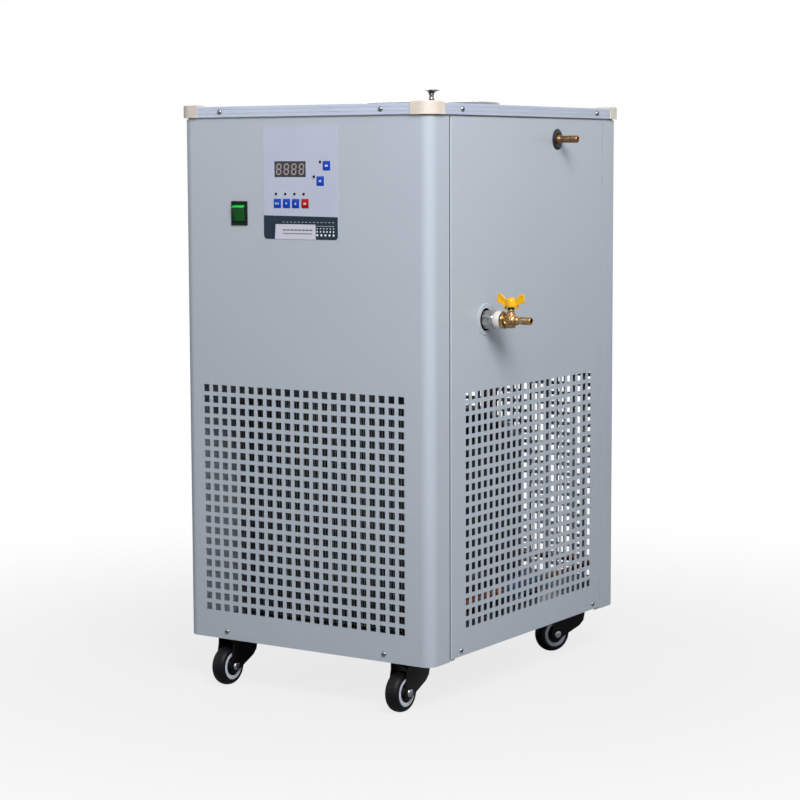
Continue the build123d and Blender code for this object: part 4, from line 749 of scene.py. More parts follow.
ring_low, ring_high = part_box("outlet_ring")
outlet = Vector((0, *ring_low.lerp(ring_high, 0.5).yz))
ring_outer = (ring_high.y - ring_low.y) / 2 / mm
ring_inner = 14.0
ring_wall = (ring_high.x - ring_low.x) / mm
ring_plastic = make_finish(
    "moulded_grey_polyamide", "#B6BEC7", "#AFB7C0",
    roughness=0.42, swing=0.04, grain=1.5, relief=0.02, patch=20.0,
)
ring_line = [
    (ring_inner, 0.0), (ring_outer, 0.0), (ring_outer, 0.3 * ring_wall), (ring_outer - 1.2, ring_wall),
    (ring_inner + 2.6, ring_wall), (ring_inner + 2.2, 0.55 * ring_wall), (ring_inner + 1.2, 0.55 * ring_wall),
    (ring_inner + 0.8, ring_wall), (ring_inner, ring_wall),
]
ring = turned(
    "panel_ring", eased(ring_line, 0.25, steps=2, closed=True), outlet + right * ring_low.x, right,
    ring_plastic, closed=True,
)
dress(ring, "cabinet", "ring_plastic", "outlet_ring")

coupling_low, coupling_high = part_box("outlet_coupling")
stub_length = 15.0
stub_radius = 8.0
coupling_across = 22.2
coupling_sides = 8
coupling_chamfer = 1.6
turned_steel = make_finish(
    "turned_stainless_bar", "#C6C4C0", "#8E8B86",
    roughness=0.3, swing=0.1, grain=2.5, relief=0.012, metallic=1.0, stretch=(6.0, 0.6, 0.6), patch=8.0,
)
coupling_start = coupling_low.x / mm + stub_length
coupling_end = coupling_high.x / mm
bar = hex_bar(
    "coupling_bar", coupling_sides, coupling_across, coupling_start, coupling_end, coupling_chamfer,
    outlet, right, turned_steel, turn=math.pi / coupling_sides,
)
stub_line = [
    (0.0, coupling_low.x / mm), (stub_radius, coupling_low.x / mm),
    (stub_radius, coupling_start + 0.5), (0.0, coupling_start + 0.5),
]
stub = turned("coupling_stub", eased(stub_line, 0.8), outlet, right, turned_steel)
dress(join("steel_coupling", bar, stub), "cabinet", "coupling_steel", "outlet_coupling")

# Thread tape
# White sealing tape wound on the male thread, four turns that lap over each other and ride up into a
# soft uneven bulge next to the hexagon.
tape_low, tape_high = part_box("thread_tape")
tape_start = tape_low.x / mm
tape_span = (tape_high.x - tape_low.x) / mm
tape_radius = (tape_high.y - tape_low.y) / 2 / mm
tape_white = make_finish(
    "wound_ptfe_tape", "#D2D0CE", "#C2BFBD",
    roughness=0.5, swing=0.08, grain=1.1, relief=0.08, stretch=(3.0, 0.5, 0.5),
)
set_shader(tape_white, Subsurface_Weight=0.3, Subsurface_Scale=0.0015)
tape_inner = 7.6
tape_shoulder = 1.6
tape_swell = 1.5
lap_count = 26
lap_height = 0.16
tape_end = tape_start + tape_span
tape_line = [(tape_inner, tape_start), (tape_radius - tape_shoulder, tape_start)]
for i in range(lap_count + 1):
    share = i / lap_count
    bulge = math.sin(math.pi * min(1.0, 0.12 + 0.95 * share)) ** 0.5
    lap = lap_height * abs(math.sin(4 * math.pi * share))
    tape_skin = tape_radius - tape_swell * (1 - bulge) - lap_height + lap
    tape_line.append((tape_skin, tape_start + tape_span * (0.03 + 0.94 * share)))
tape_line += [(tape_radius - tape_shoulder, tape_end), (tape_inner, tape_end)]
tape = turned("wound_tape", tape_line, outlet, right, tape_white, segments=96, closed=True)
for vertex in tape.data.vertices:
    off = vertex.co - outlet
    around = math.atan2(off.z, off.y)
    long_wave = 0.012 * math.sin(3 * around + off.x / mm * 0.9)
    short_wave = 0.008 * math.sin(7 * around - off.x / mm * 1.7)
    sag = 1 + long_wave + short_wave
    vertex.co = Vector((vertex.co.x, outlet.y + off.y * sag, outlet.z + off.z * sag))
dress(tape, "cabinet", "tape_white", "thread_tape")

# Ball valve body
# A small cast brass body with sand-cast skin, darker in its hollows, and turned ends: a thin hexagon
# on the panel side, a collar, a bead and a plain hose tail with its bore at the tip.
joints = {joint["name"]: joint for joint in frame["joints"]}


def fuse(piece, grain, smooth_steps):
    """Melts a piece's joined solids into one skin, as a casting has, with soft inside corners."""
    remesh = piece.modifiers.new("skin", "REMESH")
    remesh.mode = "VOXEL"
    remesh.voxel_size = grain * mm
    smooth = piece.modifiers.new("soft", "SMOOTH")
    smooth.factor = 0.5
    smooth.iterations = smooth_steps
    return settle(piece, angle=80.0)


valve_x = joints["valve_turn"]["pos_m"][0] / mm
cast_brass = make_finish(
    "sand_cast_brass", "#CFB183", "#8E6A3C",
    roughness=0.24, swing=0.08, grain=1.0, relief=0.09, metallic=1.0, patch=3.0,
)
turned_brass = make_finish(
    "turned_brass", "#D0B184", "#99744A",
    roughness=0.17, swing=0.06, grain=1.6, relief=0.012, metallic=1.0, stretch=(7.0, 0.5, 0.5), patch=7.0,
)
patina_colour = "#3A2A16"
tree = cast_brass.node_tree
hollows = add_node(tree, "ShaderNodeNewGeometry").outputs["Pointiness"]
dull = add_node(
    tree,
    "ShaderNodeMapRange",
    {"Value": hollows, "From Min": 0.42, "From Max": 0.5, "To Min": 0.85, "To Max": 0.0},
).outputs[0]
patina = add_node(
    tree,
    "ShaderNodeMix",
    {0: dull, 6: tree.nodes["base"].outputs[2], 7: linear(patina_colour)},
    data_type="RGBA",
)
tree.links.new(patina.outputs[2], tree.nodes["Principled BSDF"].inputs["Base Color"])
hex_start = tape_end
hex_wall = 5.0
hex_end = hex_start + hex_wall
hex_across = 19.8
body_end = hex_end + 14.0
tail_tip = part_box("valve_body")[1].x / mm
nut = hex_bar("valve_hexagon", 6, hex_across, hex_start, hex_end, 1.5, outlet, right, cast_brass)
barrel_line = [
    (0.0, hex_end - 1.0), (7.6, hex_end - 1.0), (7.4, hex_end + 0.8), (8.5, hex_end + 3.0),
    (8.7, valve_x), (8.2, valve_x + 2.8), (7.2, valve_x + 3.8), (7.6, valve_x + 4.6),
    (7.5, body_end - 1.6), (6.0, body_end - 0.2), (5.2, body_end + 0.4), (0.0, body_end + 0.4),
]
barrel = turned("barrel", eased(barrel_line, 0.6), outlet, right, cast_brass)
centre = Vector((valve_x * mm, outlet.y, outlet.z))
neck_top = 13.2
gland_top = 15.7
neck_line = [
    (0.0, 0.0), (6.0, 0.0), (6.0, 7.6), (4.5, 9.4),
    (4.5, neck_top - 0.6), (4.2, neck_top), (0.0, neck_top),
]
neck = turned("neck", eased(neck_line, 0.5), centre, up, cast_brass)
bosses = []
for facing, reach in ((ahead, 10.5), (-up, 9.3), (-ahead, 10.5)):
    boss_line = [
        (0.0, 5.0), (5.3, 5.0), (5.1, reach - 0.6), (4.7, reach),
        (3.9, reach), (3.1, reach - 1.1), (0.0, reach - 1.1),
    ]
    bosses.append(turned("boss", boss_line, centre, facing, cast_brass, segments=40))
casting_grain = 0.24
valve_casting = fuse(join("valve_casting", barrel, neck, *bosses), casting_grain, 2)
dress(valve_casting, "cabinet", "brass", "valve_body")
dress(nut, "cabinet", "brass", "valve_body")

tail_bore = 2.9
tail_line = [
    (tail_bore, body_end - 0.4), (4.6, body_end - 0.4), (3.8, body_end + 0.9), (5.3, body_end + 1.6),
    (5.5, body_end + 2.6), (5.2, body_end + 3.4), (3.9, body_end + 4.2), (4.0, body_end + 5.2),
    (4.8, body_end + 7.4), (4.8, tail_tip - 3.6), (4.72, tail_tip - 3.2), (4.8, tail_tip - 2.8),
    (4.8, tail_tip - 0.8), (4.2, tail_tip), (tail_bore, tail_tip),
]
hose_tail = turned(
    "valve_hose_tail", eased(tail_line, 0.35, steps=3, closed=True), outlet, right, turned_brass, closed=True
)
dress(hose_tail, "cabinet", "brass", "valve_body")

packing_rubber = make_finish(
    "packing_rubber", "#17130F", "#1F1A15", roughness=0.5, swing=0.05, grain=1.2, relief=0.02, patch=6.0
)
packing_line = [
    (2.2, neck_top - 0.8), (4.3, neck_top - 0.8), (4.3, gland_top - 0.4), (3.9, gland_top), (2.2, gland_top),
]
packing = turned("stem_packing", packing_line, centre, up, packing_rubber, closed=True)
dress(packing, "cabinet", "grommet_rubber", "valve_body")

# Valve stem and butterfly handle
# A cast zinc handle under thick yellow paint: a domed hub with faint flutes, two upswept ears with a
# raised rim round a flat field, and two small stop lugs. A dark gland shows under the hub.
handle_low, handle_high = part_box("valve_handle")
handle_foot = (handle_low.z / mm) + 3.0 - outlet.z / mm
hub_height = 12.4
hub_radius = 6.6
flute_count = 12
flute_depth = 0.03
flute_low = 0.5
flute_high = 9.5
ear_half_wall = 1.3
field_half_wall = 0.8
field_reach = 3.0
lug_half_wall = 2.2
skirt_half_wall = 3.6
ear_half = (handle_high.x - handle_low.x) / 2 / mm
ear_top = (handle_high.z - outlet.z) / mm
yellow_paint = make_finish(
    "yellow_enamel", "#EBB20C", "#E3A808", roughness=0.3, swing=0.05, grain=2.2, relief=0.03, patch=9.0
)
set_shader(yellow_paint, Specular_IOR_Level=0.25, Coat_Weight=0.3, Coat_Roughness=0.06)
hub_line = [
    (0.0, handle_foot), (5.9, handle_foot), (hub_radius, handle_foot + 1.0), (6.5, handle_foot + 4.6),
    (5.9, handle_foot + 8.6), (4.0, handle_foot + 11.5), (0.0, handle_foot + hub_height),
]
hub = turned("hub", eased(hub_line, 1.2), centre, up, yellow_paint, segments=80)
for vertex in hub.data.vertices:
    off = vertex.co - centre
    around = math.atan2(off.y, off.x)
    level = off.z / mm - handle_foot
    if flute_low < level < flute_high:
        fade = math.sin(math.pi * (level - flute_low) / (flute_high - flute_low))
        flute = 1 - flute_depth * max(0.0, math.cos(flute_count * around)) * fade
        vertex.co = Vector((centre.x + off.x * flute, centre.y + off.y * flute, vertex.co.z))
ear_line = [
    (3.0, handle_foot + 1.0), (7.2, handle_foot + 1.2), (ear_half - 0.4, handle_foot + 5.8),
    (ear_half, handle_foot + 8.0), (ear_half - 1.0, ear_top - 1.6), (ear_half - 3.8, ear_top),
    (ear_half - 6.6, ear_top - 0.9), (6.0, handle_foot + 8.6), (3.0, handle_foot + 9.4),
]
field_line = [
    (6.6, handle_foot + 3.2), (ear_half - 2.6, handle_foot + 7.4), (ear_half - 2.7, ear_top - 3.0),
    (ear_half - 4.4, ear_top - 2.4), (8.2, handle_foot + 7.6),
]
handle_parts = [hub]
for side in (-1, 1):
    ear_outline = [(side * x, z) for x, z in eased(ear_line, 1.6, closed=True)]
    ear_start = centre - ahead * ear_half_wall * mm
    ear = prism("ear", ear_outline, ear_start, right, up, 2 * ear_half_wall, yellow_paint)
    field_outline = [(side * x, z) for x, z in eased(field_line, 1.0, closed=True)]
    for field_start in (-field_half_wall - field_reach, field_half_wall):
        field_spot = centre + ahead * field_start * mm
        cut_out(ear, prism("field", field_outline, field_spot, right, up, field_reach))
    handle_parts.append(ear)
    lug_line = [
        (side * 7.0, handle_foot + 2.2), (side * 8.5, handle_foot + 1.8),
        (side * 8.4, handle_foot - 2.6), (side * 6.9, handle_foot - 2.8),
    ]
    lug_start = centre - ahead * lug_half_wall * mm
    handle_parts.append(prism("lug", lug_line, lug_start, right, up, 2 * lug_half_wall, yellow_paint))
    skirt_line = [
        (side * 3.0, handle_foot + 0.1), (side * 8.5, handle_foot + 0.1),
        (side * 8.5, handle_foot + 2.4), (side * 3.0, handle_foot + 2.8),
    ]
    skirt_start = centre - ahead * skirt_half_wall * mm
    handle_parts.append(prism("skirt", skirt_line, skirt_start, right, up, 2 * skirt_half_wall, yellow_paint))
handle_grain = 0.2
handle = fuse(join("butterfly_handle", *handle_parts), handle_grain, 2)
dress(handle, "valve_lever", "handle_yellow", "valve_handle")

stem_steel = make_finish(
    "turned_steel", "#A9ABAD", "#8E9092",
    roughness=0.28, swing=0.06, grain=1.2, relief=0.01, metallic=1.0, patch=8.0,
)
cover_nodes(stem_steel, "valve_stem")

# Return grommet and tail
# A soft black rubber grommet with a conical lip holds the brass return tail, which swells to a cone
# where it meets the rubber and has three faint grooves to hold a hose.
grommet_low, grommet_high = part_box("return_grommet")
return_axis = Vector((0, *grommet_low.lerp(grommet_high, 0.5).yz))
grommet_start = grommet_low.x / mm
hole_radius = 10.0
lip_radius = (grommet_high.y - grommet_low.y) / 2 / mm
lip_proud = grommet_high.x / mm
cone_radius = 6.5
soft_rubber = make_finish(
    "moulded_rubber", "#0C0D10", "#131418", roughness=0.44, swing=0.06, grain=1.4, relief=0.03, patch=12.0
)
grommet_line = [
    (cone_radius, grommet_start), (hole_radius, grommet_start), (11.9, half_width - 1.3),
    (hole_radius, half_width - 1.2), (hole_radius, half_width), (lip_radius, half_width),
    (lip_radius, half_width + 0.6), (lip_radius - 2.0, lip_proud - 0.4),
    (cone_radius + 2.4, lip_proud), (cone_radius, lip_proud - 0.3),
]
grommet = turned(
    "rubber_grommet", eased(grommet_line, 0.5, closed=True), return_axis, right, soft_rubber, closed=True
)
dress(grommet, "cabinet", "grommet_rubber", "return_grommet")

return_low, return_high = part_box("return_tail")
return_start = return_low.x / mm
return_tip = return_high.x / mm
return_bore = 2.6
ridge_radius = 4.65
return_line = [
    (return_bore, return_start), (5.9, return_start), (5.9, grommet_start),
    (cone_radius - 0.1, grommet_start), (cone_radius - 0.1, lip_proud + 0.2), (5.6, lip_proud + 2.2),
    (4.35, lip_proud + 4.6), (4.35, lip_proud + 8.0), (ridge_radius, lip_proud + 9.6),
    (4.4, lip_proud + 12.2), (ridge_radius, lip_proud + 13.4), (ridge_radius, lip_proud + 16.2),
    (4.4, lip_proud + 17.4), (ridge_radius, lip_proud + 18.8), (ridge_radius, lip_proud + 22.0),
    (4.45, lip_proud + 23.2), (ridge_radius, lip_proud + 24.2), (ridge_radius, return_tip - 0.8),
    (4.0, return_tip), (return_bore, return_tip),
]
aged_brass = make_finish(
    "dull_turned_brass", "#A17E58", "#664630",
    roughness=0.24, swing=0.07, grain=1.6, relief=0.014, metallic=1.0, stretch=(6.0, 0.5, 0.5), patch=6.0,
)
return_outline = eased(return_line, 0.5, steps=3, closed=True)
return_piece = turned("brass_return_tail", return_outline, return_axis, right, aged_brass, closed=True)
dress(return_piece, "cabinet", "brass", "return_tail")

# Rocker switch
# A black nylon frame snapped into the front cover, and a rocker of clear green polycarbonate. A bright
# green glow is painted along its ridge for the light that gathers there, so its hollow face looks darker.


def soften(piece, width, segments=2, angle=35.0):
    """Rounds a piece's sharp edges by a width in millimetres."""
    bevel = piece.modifiers.new("bevel", "BEVEL")
    bevel.width = width * mm
    bevel.segments = segments
    bevel.limit_method = "ANGLE"
    bevel.angle_limit = math.radians(30)
    return settle(piece, angle)


switch_nylon = make_finish(
    "moulded_black_nylon", "#0D0E11", "#15161A",
    roughness=0.34, swing=0.05, grain=1.4, relief=0.015, patch=15.0,
)
set_shader(switch_nylon, Specular_IOR_Level=0.15)
cover_nodes(switch_nylon, "switch_frame")
clear_green = make_finish(
    "clear_green_polycarbonate", "#06621F", "#05571B",
    roughness=0.14, swing=0.03, grain=2.0, relief=0.004, patch=8.0,
)
set_shader(clear_green, Transmission_Weight=0.15, Specular_IOR_Level=0.3, IOR=1.58)
rock = joints["switch_rock"]
rock_centre = Vector(rock["pos_m"])
# Painted glow: above a set height the rocker's colour turns bright green, standing in for light passing
# through the clear ridge.
painted_glow_colour = "#12D247"
painted_glow_start = 6.6
painted_glow_end = 8.2
tree = clear_green.node_tree
ridge_height = add_node(
    tree, "ShaderNodeSeparateXYZ", {0: add_node(tree, "ShaderNodeTexCoord").outputs["Object"]}
).outputs["Z"]
painted_glow_mask = add_node(
    tree,
    "ShaderNodeMapRange",
    {
        "Value": ridge_height,
        "From Min": rock_centre.z + painted_glow_start * mm, "From Max": rock_centre.z + painted_glow_end * mm,
    },
).outputs[0]
painted_glow_mix = add_node(
    tree,
    "ShaderNodeMix",
    {0: painted_glow_mask, 6: tree.nodes["base"].outputs[2], 7: linear(painted_glow_colour)},
    data_type="RGBA",
)
tree.links.new(painted_glow_mix.outputs[2], tree.nodes["Principled BSDF"].inputs["Base Color"])
rocker_radius = 10.7
rocker_face = 6.3
rocker_dip = 1.1
rocker_tilt = math.radians(15)
rocker_half = 8.7
rocker_edge = 0.35
half_face = math.sqrt(rocker_radius**2 - rocker_face**2)
face_angle = math.atan2(half_face, rocker_face)
rocker_line = []
arc_steps = 28
for i in range(arc_steps + 1):
    angle = face_angle + (2 * math.pi - 2 * face_angle) * i / arc_steps
    rocker_line.append((rocker_radius * math.cos(angle), rocker_radius * math.sin(angle)))
dip_steps = 9
for i in range(1, dip_steps):
    share = 2 * i / dip_steps - 1
    rocker_line.append((rocker_face - rocker_dip * (1 - share**2), half_face * share))
out_dir = Vector((0, -math.cos(rocker_tilt), -math.sin(rocker_tilt)))
side_dir = right.cross(out_dir)
rocker_start = rock_centre + right * rocker_half * mm
rocker = prism("green_rocker", rocker_line, rocker_start, out_dir, side_dir, -2 * rocker_half, clear_green)
soften(rocker, rocker_edge)
dress(rocker, "rocker", "switch_green", "switch_rocker")

# Control overlay
# A polyester film with rounded corners, stuck on the front cover and printed from behind: a pale
# bluish field above, and a dark band with a light field and rows of white dots at the foot.
film = make_finish(
    "printed_polyester_film", "#B7BED1", "#B2B9CC",
    roughness=0.33, swing=0.03, grain=1.2, relief=0.006, patch=60.0,
)
set_shader(film, Coat_Weight=0.25, Coat_Roughness=0.2)
cover_nodes(film, "control_overlay")
film_low, film_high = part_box("control_overlay")
film_face = film_low.y
ink_wall = 0.06
ink_shades = {
    "dark_blue_ink": ("#22333F", "#1F2F3B", 0.3),
    "pale_grey_ink": ("#D0CEDD", "#C9C8D7", 0.36),
    "white_ink": ("#E9ECF2", "#E1E5EC", 0.36),
    "silver_ink": ("#98A0AC", "#8F97A3", 0.36),
    "grey_ink": ("#4A4B57", "#545561", 0.36),
}
inks = {
    name: make_finish(name, colour, tint, roughness=roughness, swing=0.03, grain=1.2, relief=0.004)
    for name, (colour, tint, roughness) in ink_shades.items()
}
for name in ("dark_blue_ink", "grey_ink"):
    set_shader(inks[name], Specular_IOR_Level=0.15)
film_margin = 0.1
band_left = film_low.x / mm + film_margin
band_right = film_high.x / mm - film_margin
band_foot = film_low.z / mm + film_margin
band_top = 600.1
band_rounding = 5.0
field_left = -41.4
field_right = 20.0
field_top = 589.6


def print_patch(name, outline, ink):
    """A printed shape on the film: an outline in the front's X and Z, in millimetres."""
    return prism(name, outline, ahead * -film_face, right, up, ink_wall, inks[ink])


left_end = [(band_left, band_top), (band_left, band_foot), (field_left - 0.5, band_foot)]
notch = [
    (field_left - 0.5, band_foot), (field_left, band_foot + 0.5), (field_left + 1.2, field_top),
    (field_right, field_top), (field_right, band_foot), (band_right, band_foot),
]
right_end = [(field_right + 1, band_foot), (band_right, band_foot), (band_right, band_top - 1.2)]
band_line = eased(left_end, band_rounding, steps=6) + eased(notch, 1.2, steps=3)[1:]
band_line += eased(right_end, band_rounding, steps=6)[1:]
band = print_patch("dark_band", band_line, "dark_blue_ink")
field_line = [
    (field_left + 0.1, band_foot), (field_right - 0.1, band_foot),
    (field_right - 0.1, field_top - 0.1), (field_left + 1.4, field_top - 0.1),
]
pale_field = print_patch("pale_field", field_line, "pale_grey_ink")
pattern_wall = 0.03


def flat_pattern(name, outline):
    """A thin plate, one unit across, for a pattern that is set in rows."""
    return prism(name, to_unit(outline), Vector(), right, -ahead, pattern_wall * unit)


def round_outline(count):
    """A circle one across."""
    turns = [2 * math.pi * k / count for k in range(count)]
    return [(0.5 * math.cos(a), 0.5 * math.sin(a)) for a in turns]


def bar_outline(length, height):
    """A flat bar round the middle of its plane."""
    half_length, half_height = length / 2, height / 2
    return [
        (-half_length, -half_height), (half_length, -half_height),
        (half_length, half_height), (-half_length, half_height),
    ]


def row_places(first, span, level, count, size):
    """Places in a level row on the film, from a first X over a span, in millimetres."""
    ink_y = film_face - ink_wall * mm
    return [
        (Vector(((first + span * i / (count - 1)) * mm, ink_y, level * mm)), ahead, 0.0, size)
        for i in range(count)
    ]


dots_left, dots_right = 22.4, 46.6
dash_left, dash_span, dash_level, dash_count, dash_length = -28.0, 74.0, 592.2, 14, 2.9
rule_left, rule_span, rule_length = -27.0, 40.0, 4.4
dots = []
for level, size, count in ((587.6, 0.9, 13), (584.7, 1.5, 6), (581.0, 2.1, 6), (576.8, 2.9, 5)):
    dots += row_places(dots_left, dots_right - dots_left, level, count, size)
dot = flat_pattern("dot", round_outline(14))
dot_field = set_on_points("halftone_dots", dot, dots, mm, inks["white_ink"])
dash = flat_pattern("dash", bar_outline(1.0, 0.32))
dashes = row_places(dash_left, dash_span, dash_level, dash_count, 1.0)
dash_row = set_on_points("dash_row", dash, dashes, dash_length * mm, inks["silver_ink"])
rules = []
for level, size, count in ((582.6, 1.0, 8), (578.2, 0.74, 11)):
    rules += row_places(rule_left, rule_span, level, count, size)
rule = flat_pattern("rule", bar_outline(1.0, 0.34))
rule_rows = set_on_points("rule_rows", rule, rules, rule_length * mm, inks["grey_ink"])
for piece in (band, pale_field, dot_field, dash_row, rule_rows):
    dress(piece, "cabinet", "overlay_film")

# Display
# A four-digit block behind a smoked window. Its segments are off, so they show as pale warm grey
# sevens of bars on near black, leaning a little to the right.
window_low, window_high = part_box("display_module")
smoked = make_finish(
    "smoked_acrylic", "#2E2A38", "#332E3C", roughness=0.16, swing=0.03, grain=2.0, relief=0.002
)
set_shader(smoked, Specular_IOR_Level=0.25)
window_width = (window_high.x - window_low.x) / mm
window_height = (window_high.z - window_low.z) / mm
block_line = [(0, 0), (window_width, 0), (window_width, window_height), (0, window_height)]
block = prism(
    "display_block", eased(block_line, 0.5, closed=True),
    Vector((window_low.x, window_high.y, window_low.z)), right, up,
    (window_high.y - window_low.y) / mm, smoked,
)
dress(block, "cabinet", "display_black", "display_module")
digit_pitch = 11.35
digit_width = 6.1
digit_height = 12.2
digit_lean = 0.07
segment_length = 5.4
stand_off = 0.01
segment_line = [(-0.5, 0.0), (-0.36, -0.15), (0.36, -0.15), (0.5, 0.0), (0.36, 0.15), (-0.36, 0.15)]
segments = []
middle_z = (window_low.z + window_high.z) / 2 / mm
first_x = (window_low.x + window_high.x) / 2 / mm - 1.5 * digit_pitch
segment_places = (
    (0, 0.5, 0), (0, 0, 0), (0, -0.5, 0),
    (-0.5, 0.25, 1), (0.5, 0.25, 1), (-0.5, -0.25, 1), (0.5, -0.25, 1),
)
for digit in range(4):
    digit_x = first_x + digit * digit_pitch
    for across, level, upright in segment_places:
        x = digit_x + across * digit_width + digit_lean * level * digit_height
        z = middle_z + level * digit_height
        spot = Vector((x * mm, window_low.y - stand_off * mm, z * mm))
        segments.append((spot, ahead, upright * (math.pi / 2 - digit_lean), 1.0))
lit_off = make_finish(
    "unlit_segment", "#A69C98", "#9C928E", roughness=0.4, swing=0.03, grain=1.2, relief=0.002
)
segment = flat_pattern("segment", segment_line)
digits = set_on_points("digit_segments", segment, segments, segment_length * mm, lit_off)
dress(digits, "cabinet", "display_black")

# Front lamps
# Six small black domed lenses of moulded plastic, pushed from behind through holes in the film. All
# are unlit, so each shows as a dark dot with one small highlight.
lens_black = make_finish(
    "dark_lens", "#08090B", "#0E0F12", roughness=0.14, swing=0.03, grain=1.0, relief=0.002
)
set_shader(lens_black, Specular_IOR_Level=0.25)
lens_spots = [(-39.2, 626.3), (-25.1, 626.3), (-11.2, 626.3), (2.5, 626.3), (27.2, 665.0), (18.0, 647.3)]
lens_width = 3.7
lens_line = eased([(0.0, 0.0), (0.5, 0.0), (0.47, 0.1), (0.28, 0.2), (0.0, 0.23)], 0.1)
lens = turned("lens", to_unit(lens_line), Vector(), up, segments=28)
lens_places = [
    (Vector((x * mm, film_face - stand_off * mm, z * mm)), ahead, 0.0, 1.0) for x, z in lens_spots
]
lenses = set_on_points("lamp_lenses", lens, lens_places, lens_width * mm, lens_black)
dress(lenses, "cabinet", "display_black")

# Keys
# Six small caps with rounded edges in the film's holes, five blue and one red, each with a plain
# white mark: arrows on two of them, bars and dots on the others.
key_blue = make_finish(
    "blue_key_plastic", "#0545BC", "#043EB0", roughness=0.32, swing=0.04, grain=1.2, relief=0.01, patch=10.0
)
key_red = make_finish(
    "red_key_plastic", "#B0030C", "#A4020A", roughness=0.32, swing=0.04, grain=1.2, relief=0.01, patch=10.0
)
cap_height = 3.2
cap_edge = 0.3
plunger_radius = 1.75
mark_pitch = 2.1
mark_wall = 0.05
oval = [(1.6 * x, 2.6 * y) for x, y in round_outline(12)]
mark_shapes = {
    "mode_key": [bar_outline(0.9, 2.6), bar_outline(0.9, 2.6), bar_outline(0.7, 2.0)],
    "down_key": [[(-1.5, 1.0), (1.5, 1.0), (0.0, -1.4)]],
    "up_key": [[(-1.5, -1.2), (1.5, -1.2), (0.0, 1.2)]],
    "stop_key": [bar_outline(1.5, 2.2), bar_outline(1.5, 2.2)],
    "cooling_key": [bar_outline(1.7, 2.4), bar_outline(1.7, 2.4)],
    "pump_key": [oval, oval],
}
for finish in (key_blue, key_red):
    set_shader(finish, Specular_IOR_Level=0.25)
for key, marks in mark_shapes.items():
    key_low, key_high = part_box(key)
    wide = (key_high.x - key_low.x) / mm
    tall = (key_high.z - key_low.z) / mm
    deep = (key_high.y - key_low.y) / mm
    finish, slot = (key_red, "key_red") if key == "stop_key" else (key_blue, "key_blue")
    key_line = eased([(0, 0), (wide, 0), (wide, tall), (0, tall)], 1.4, steps=5, closed=True)
    cap_start = Vector((key_low.x, key_low.y + cap_height * mm, key_low.z))
    cap = prism("cap", key_line, cap_start, right, up, cap_height, finish)
    soften(cap, cap_edge, segments=3)
    middle = Vector(((key_low.x + key_high.x) / 2, 0, (key_low.z + key_high.z) / 2))
    plunger_line = [(0.0, 0.0), (plunger_radius, 0.0), (plunger_radius, deep - 1.0), (0.0, deep - 1.0)]
    plunger_foot = middle + Vector((0, key_high.y, 0))
    plunger = turned("plunger", plunger_line, plunger_foot, ahead, finish, segments=24)
    key_parts = [cap, plunger]
    for i, outline in enumerate(marks):
        shift = (i - (len(marks) - 1) / 2) * mark_pitch
        moved = [(x + shift, z) for x, z in outline]
        face = middle + ahead * (-key_low.y)
        key_parts.append(prism("mark", moved, face, right, up, mark_wall, inks["white_ink"]))
    dress(join(key + "_cap", *key_parts), key.replace("_key", "_button"), slot, key)

# Control board
# Green glass laminate with soldered parts and key switches, held behind the front cover. Hardly any
# of it is seen from outside, so it has one plain finish.
laminate = make_finish(
    "glass_laminate", "#1C5A38", "#174D30", roughness=0.35, swing=0.08, grain=2.0, relief=0.05, patch=12.0
)
cover_nodes(laminate, "control_board")

# Castors
# Swivel castors: a folded fork in black enamel under a pressed race, a moulded rubber wheel with a
# pale grey ring round its black centre, a domed steel axle bolt and a small rivet above it.
trail = 25.5
axle_height = 25.0
fork_top = 66.0
fork_out = 12.9
fork_wall = 1.8
boss_radius = 9.0
shaft_radius = 4.0
bolt_face = fork_out
edge_softness = 0.7
black_enamel = make_finish(
    "black_enamel", "#08080A", "#0E0E10", roughness=0.34, swing=0.07, grain=2.0, relief=0.03, patch=18.0
)
tread_rubber = make_finish(
    "black_tread_rubber", "#0B0B0D", "#111114",
    roughness=0.46, swing=0.08, grain=1.8, relief=0.05, patch=15.0,
)
set_shader(black_enamel, Specular_IOR_Level=0.15)
set_shader(tread_rubber, Specular_IOR_Level=0.15)
ring_grey = make_finish(
    "pale_grey_polypropylene", "#C4C9D6", "#B9BFCC",
    roughness=0.34, swing=0.05, grain=1.6, relief=0.02, patch=12.0,
)
bolt_steel = make_finish(
    "zinc_plated_bolt", "#A7ACAD", "#8B9091",
    roughness=0.24, swing=0.07, grain=1.0, relief=0.02, metallic=1.0, patch=4.0,
)
arc_angles = [math.radians(12 - 150 * k / 14) for k in range(15)]
boss_arc = [
    (trail + boss_radius * math.cos(a), axle_height + boss_radius * math.sin(a)) for a in arc_angles
]
leg_line = [(-22.0, fork_top), (28.0, fork_top), (28.4, 52.0)] + boss_arc
leg_line += [(-12.0, 33.0), (-18.6, 39.5), (-20.4, 47.0)]
wheel_side = [
    (4.05, 10.3), (7.0, 10.3), (8.0, 6.6), (11.6, 6.6), (12.7, 8.9),
    (14.8, 9.3), (17.0, 8.7), (17.7, 9.2), (19.5, 9.3),
]
tread_arc = [
    (19.5 + 5.5 * math.sin(a), 9.3 * math.cos(a)) for a in (math.radians(90 * k / 10) for k in range(1, 11))
]
half_wheel = eased(wheel_side, 0.5, steps=3) + tread_arc
wheel_line = half_wheel + [(r, -h) for r, h in reversed(half_wheel[:-1])]
inside = fork_out - fork_wall
hollow_top = fork_top - fork_wall
hollow_line = [(-60.0, -20.0), (60.0, -20.0), (60.0, hollow_top), (-60.0, hollow_top)]
race_line = [
    (0.0, fork_top - 0.2), (20.0, fork_top - 0.2), (20.0, 68.0), (18.6, 69.3),
    (shaft_radius, 69.3), (shaft_radius, 75.5), (0.0, 75.5),
]
shaft_line = [(0.0, -bolt_face), (shaft_radius, -bolt_face), (shaft_radius, bolt_face), (0.0, bolt_face)]
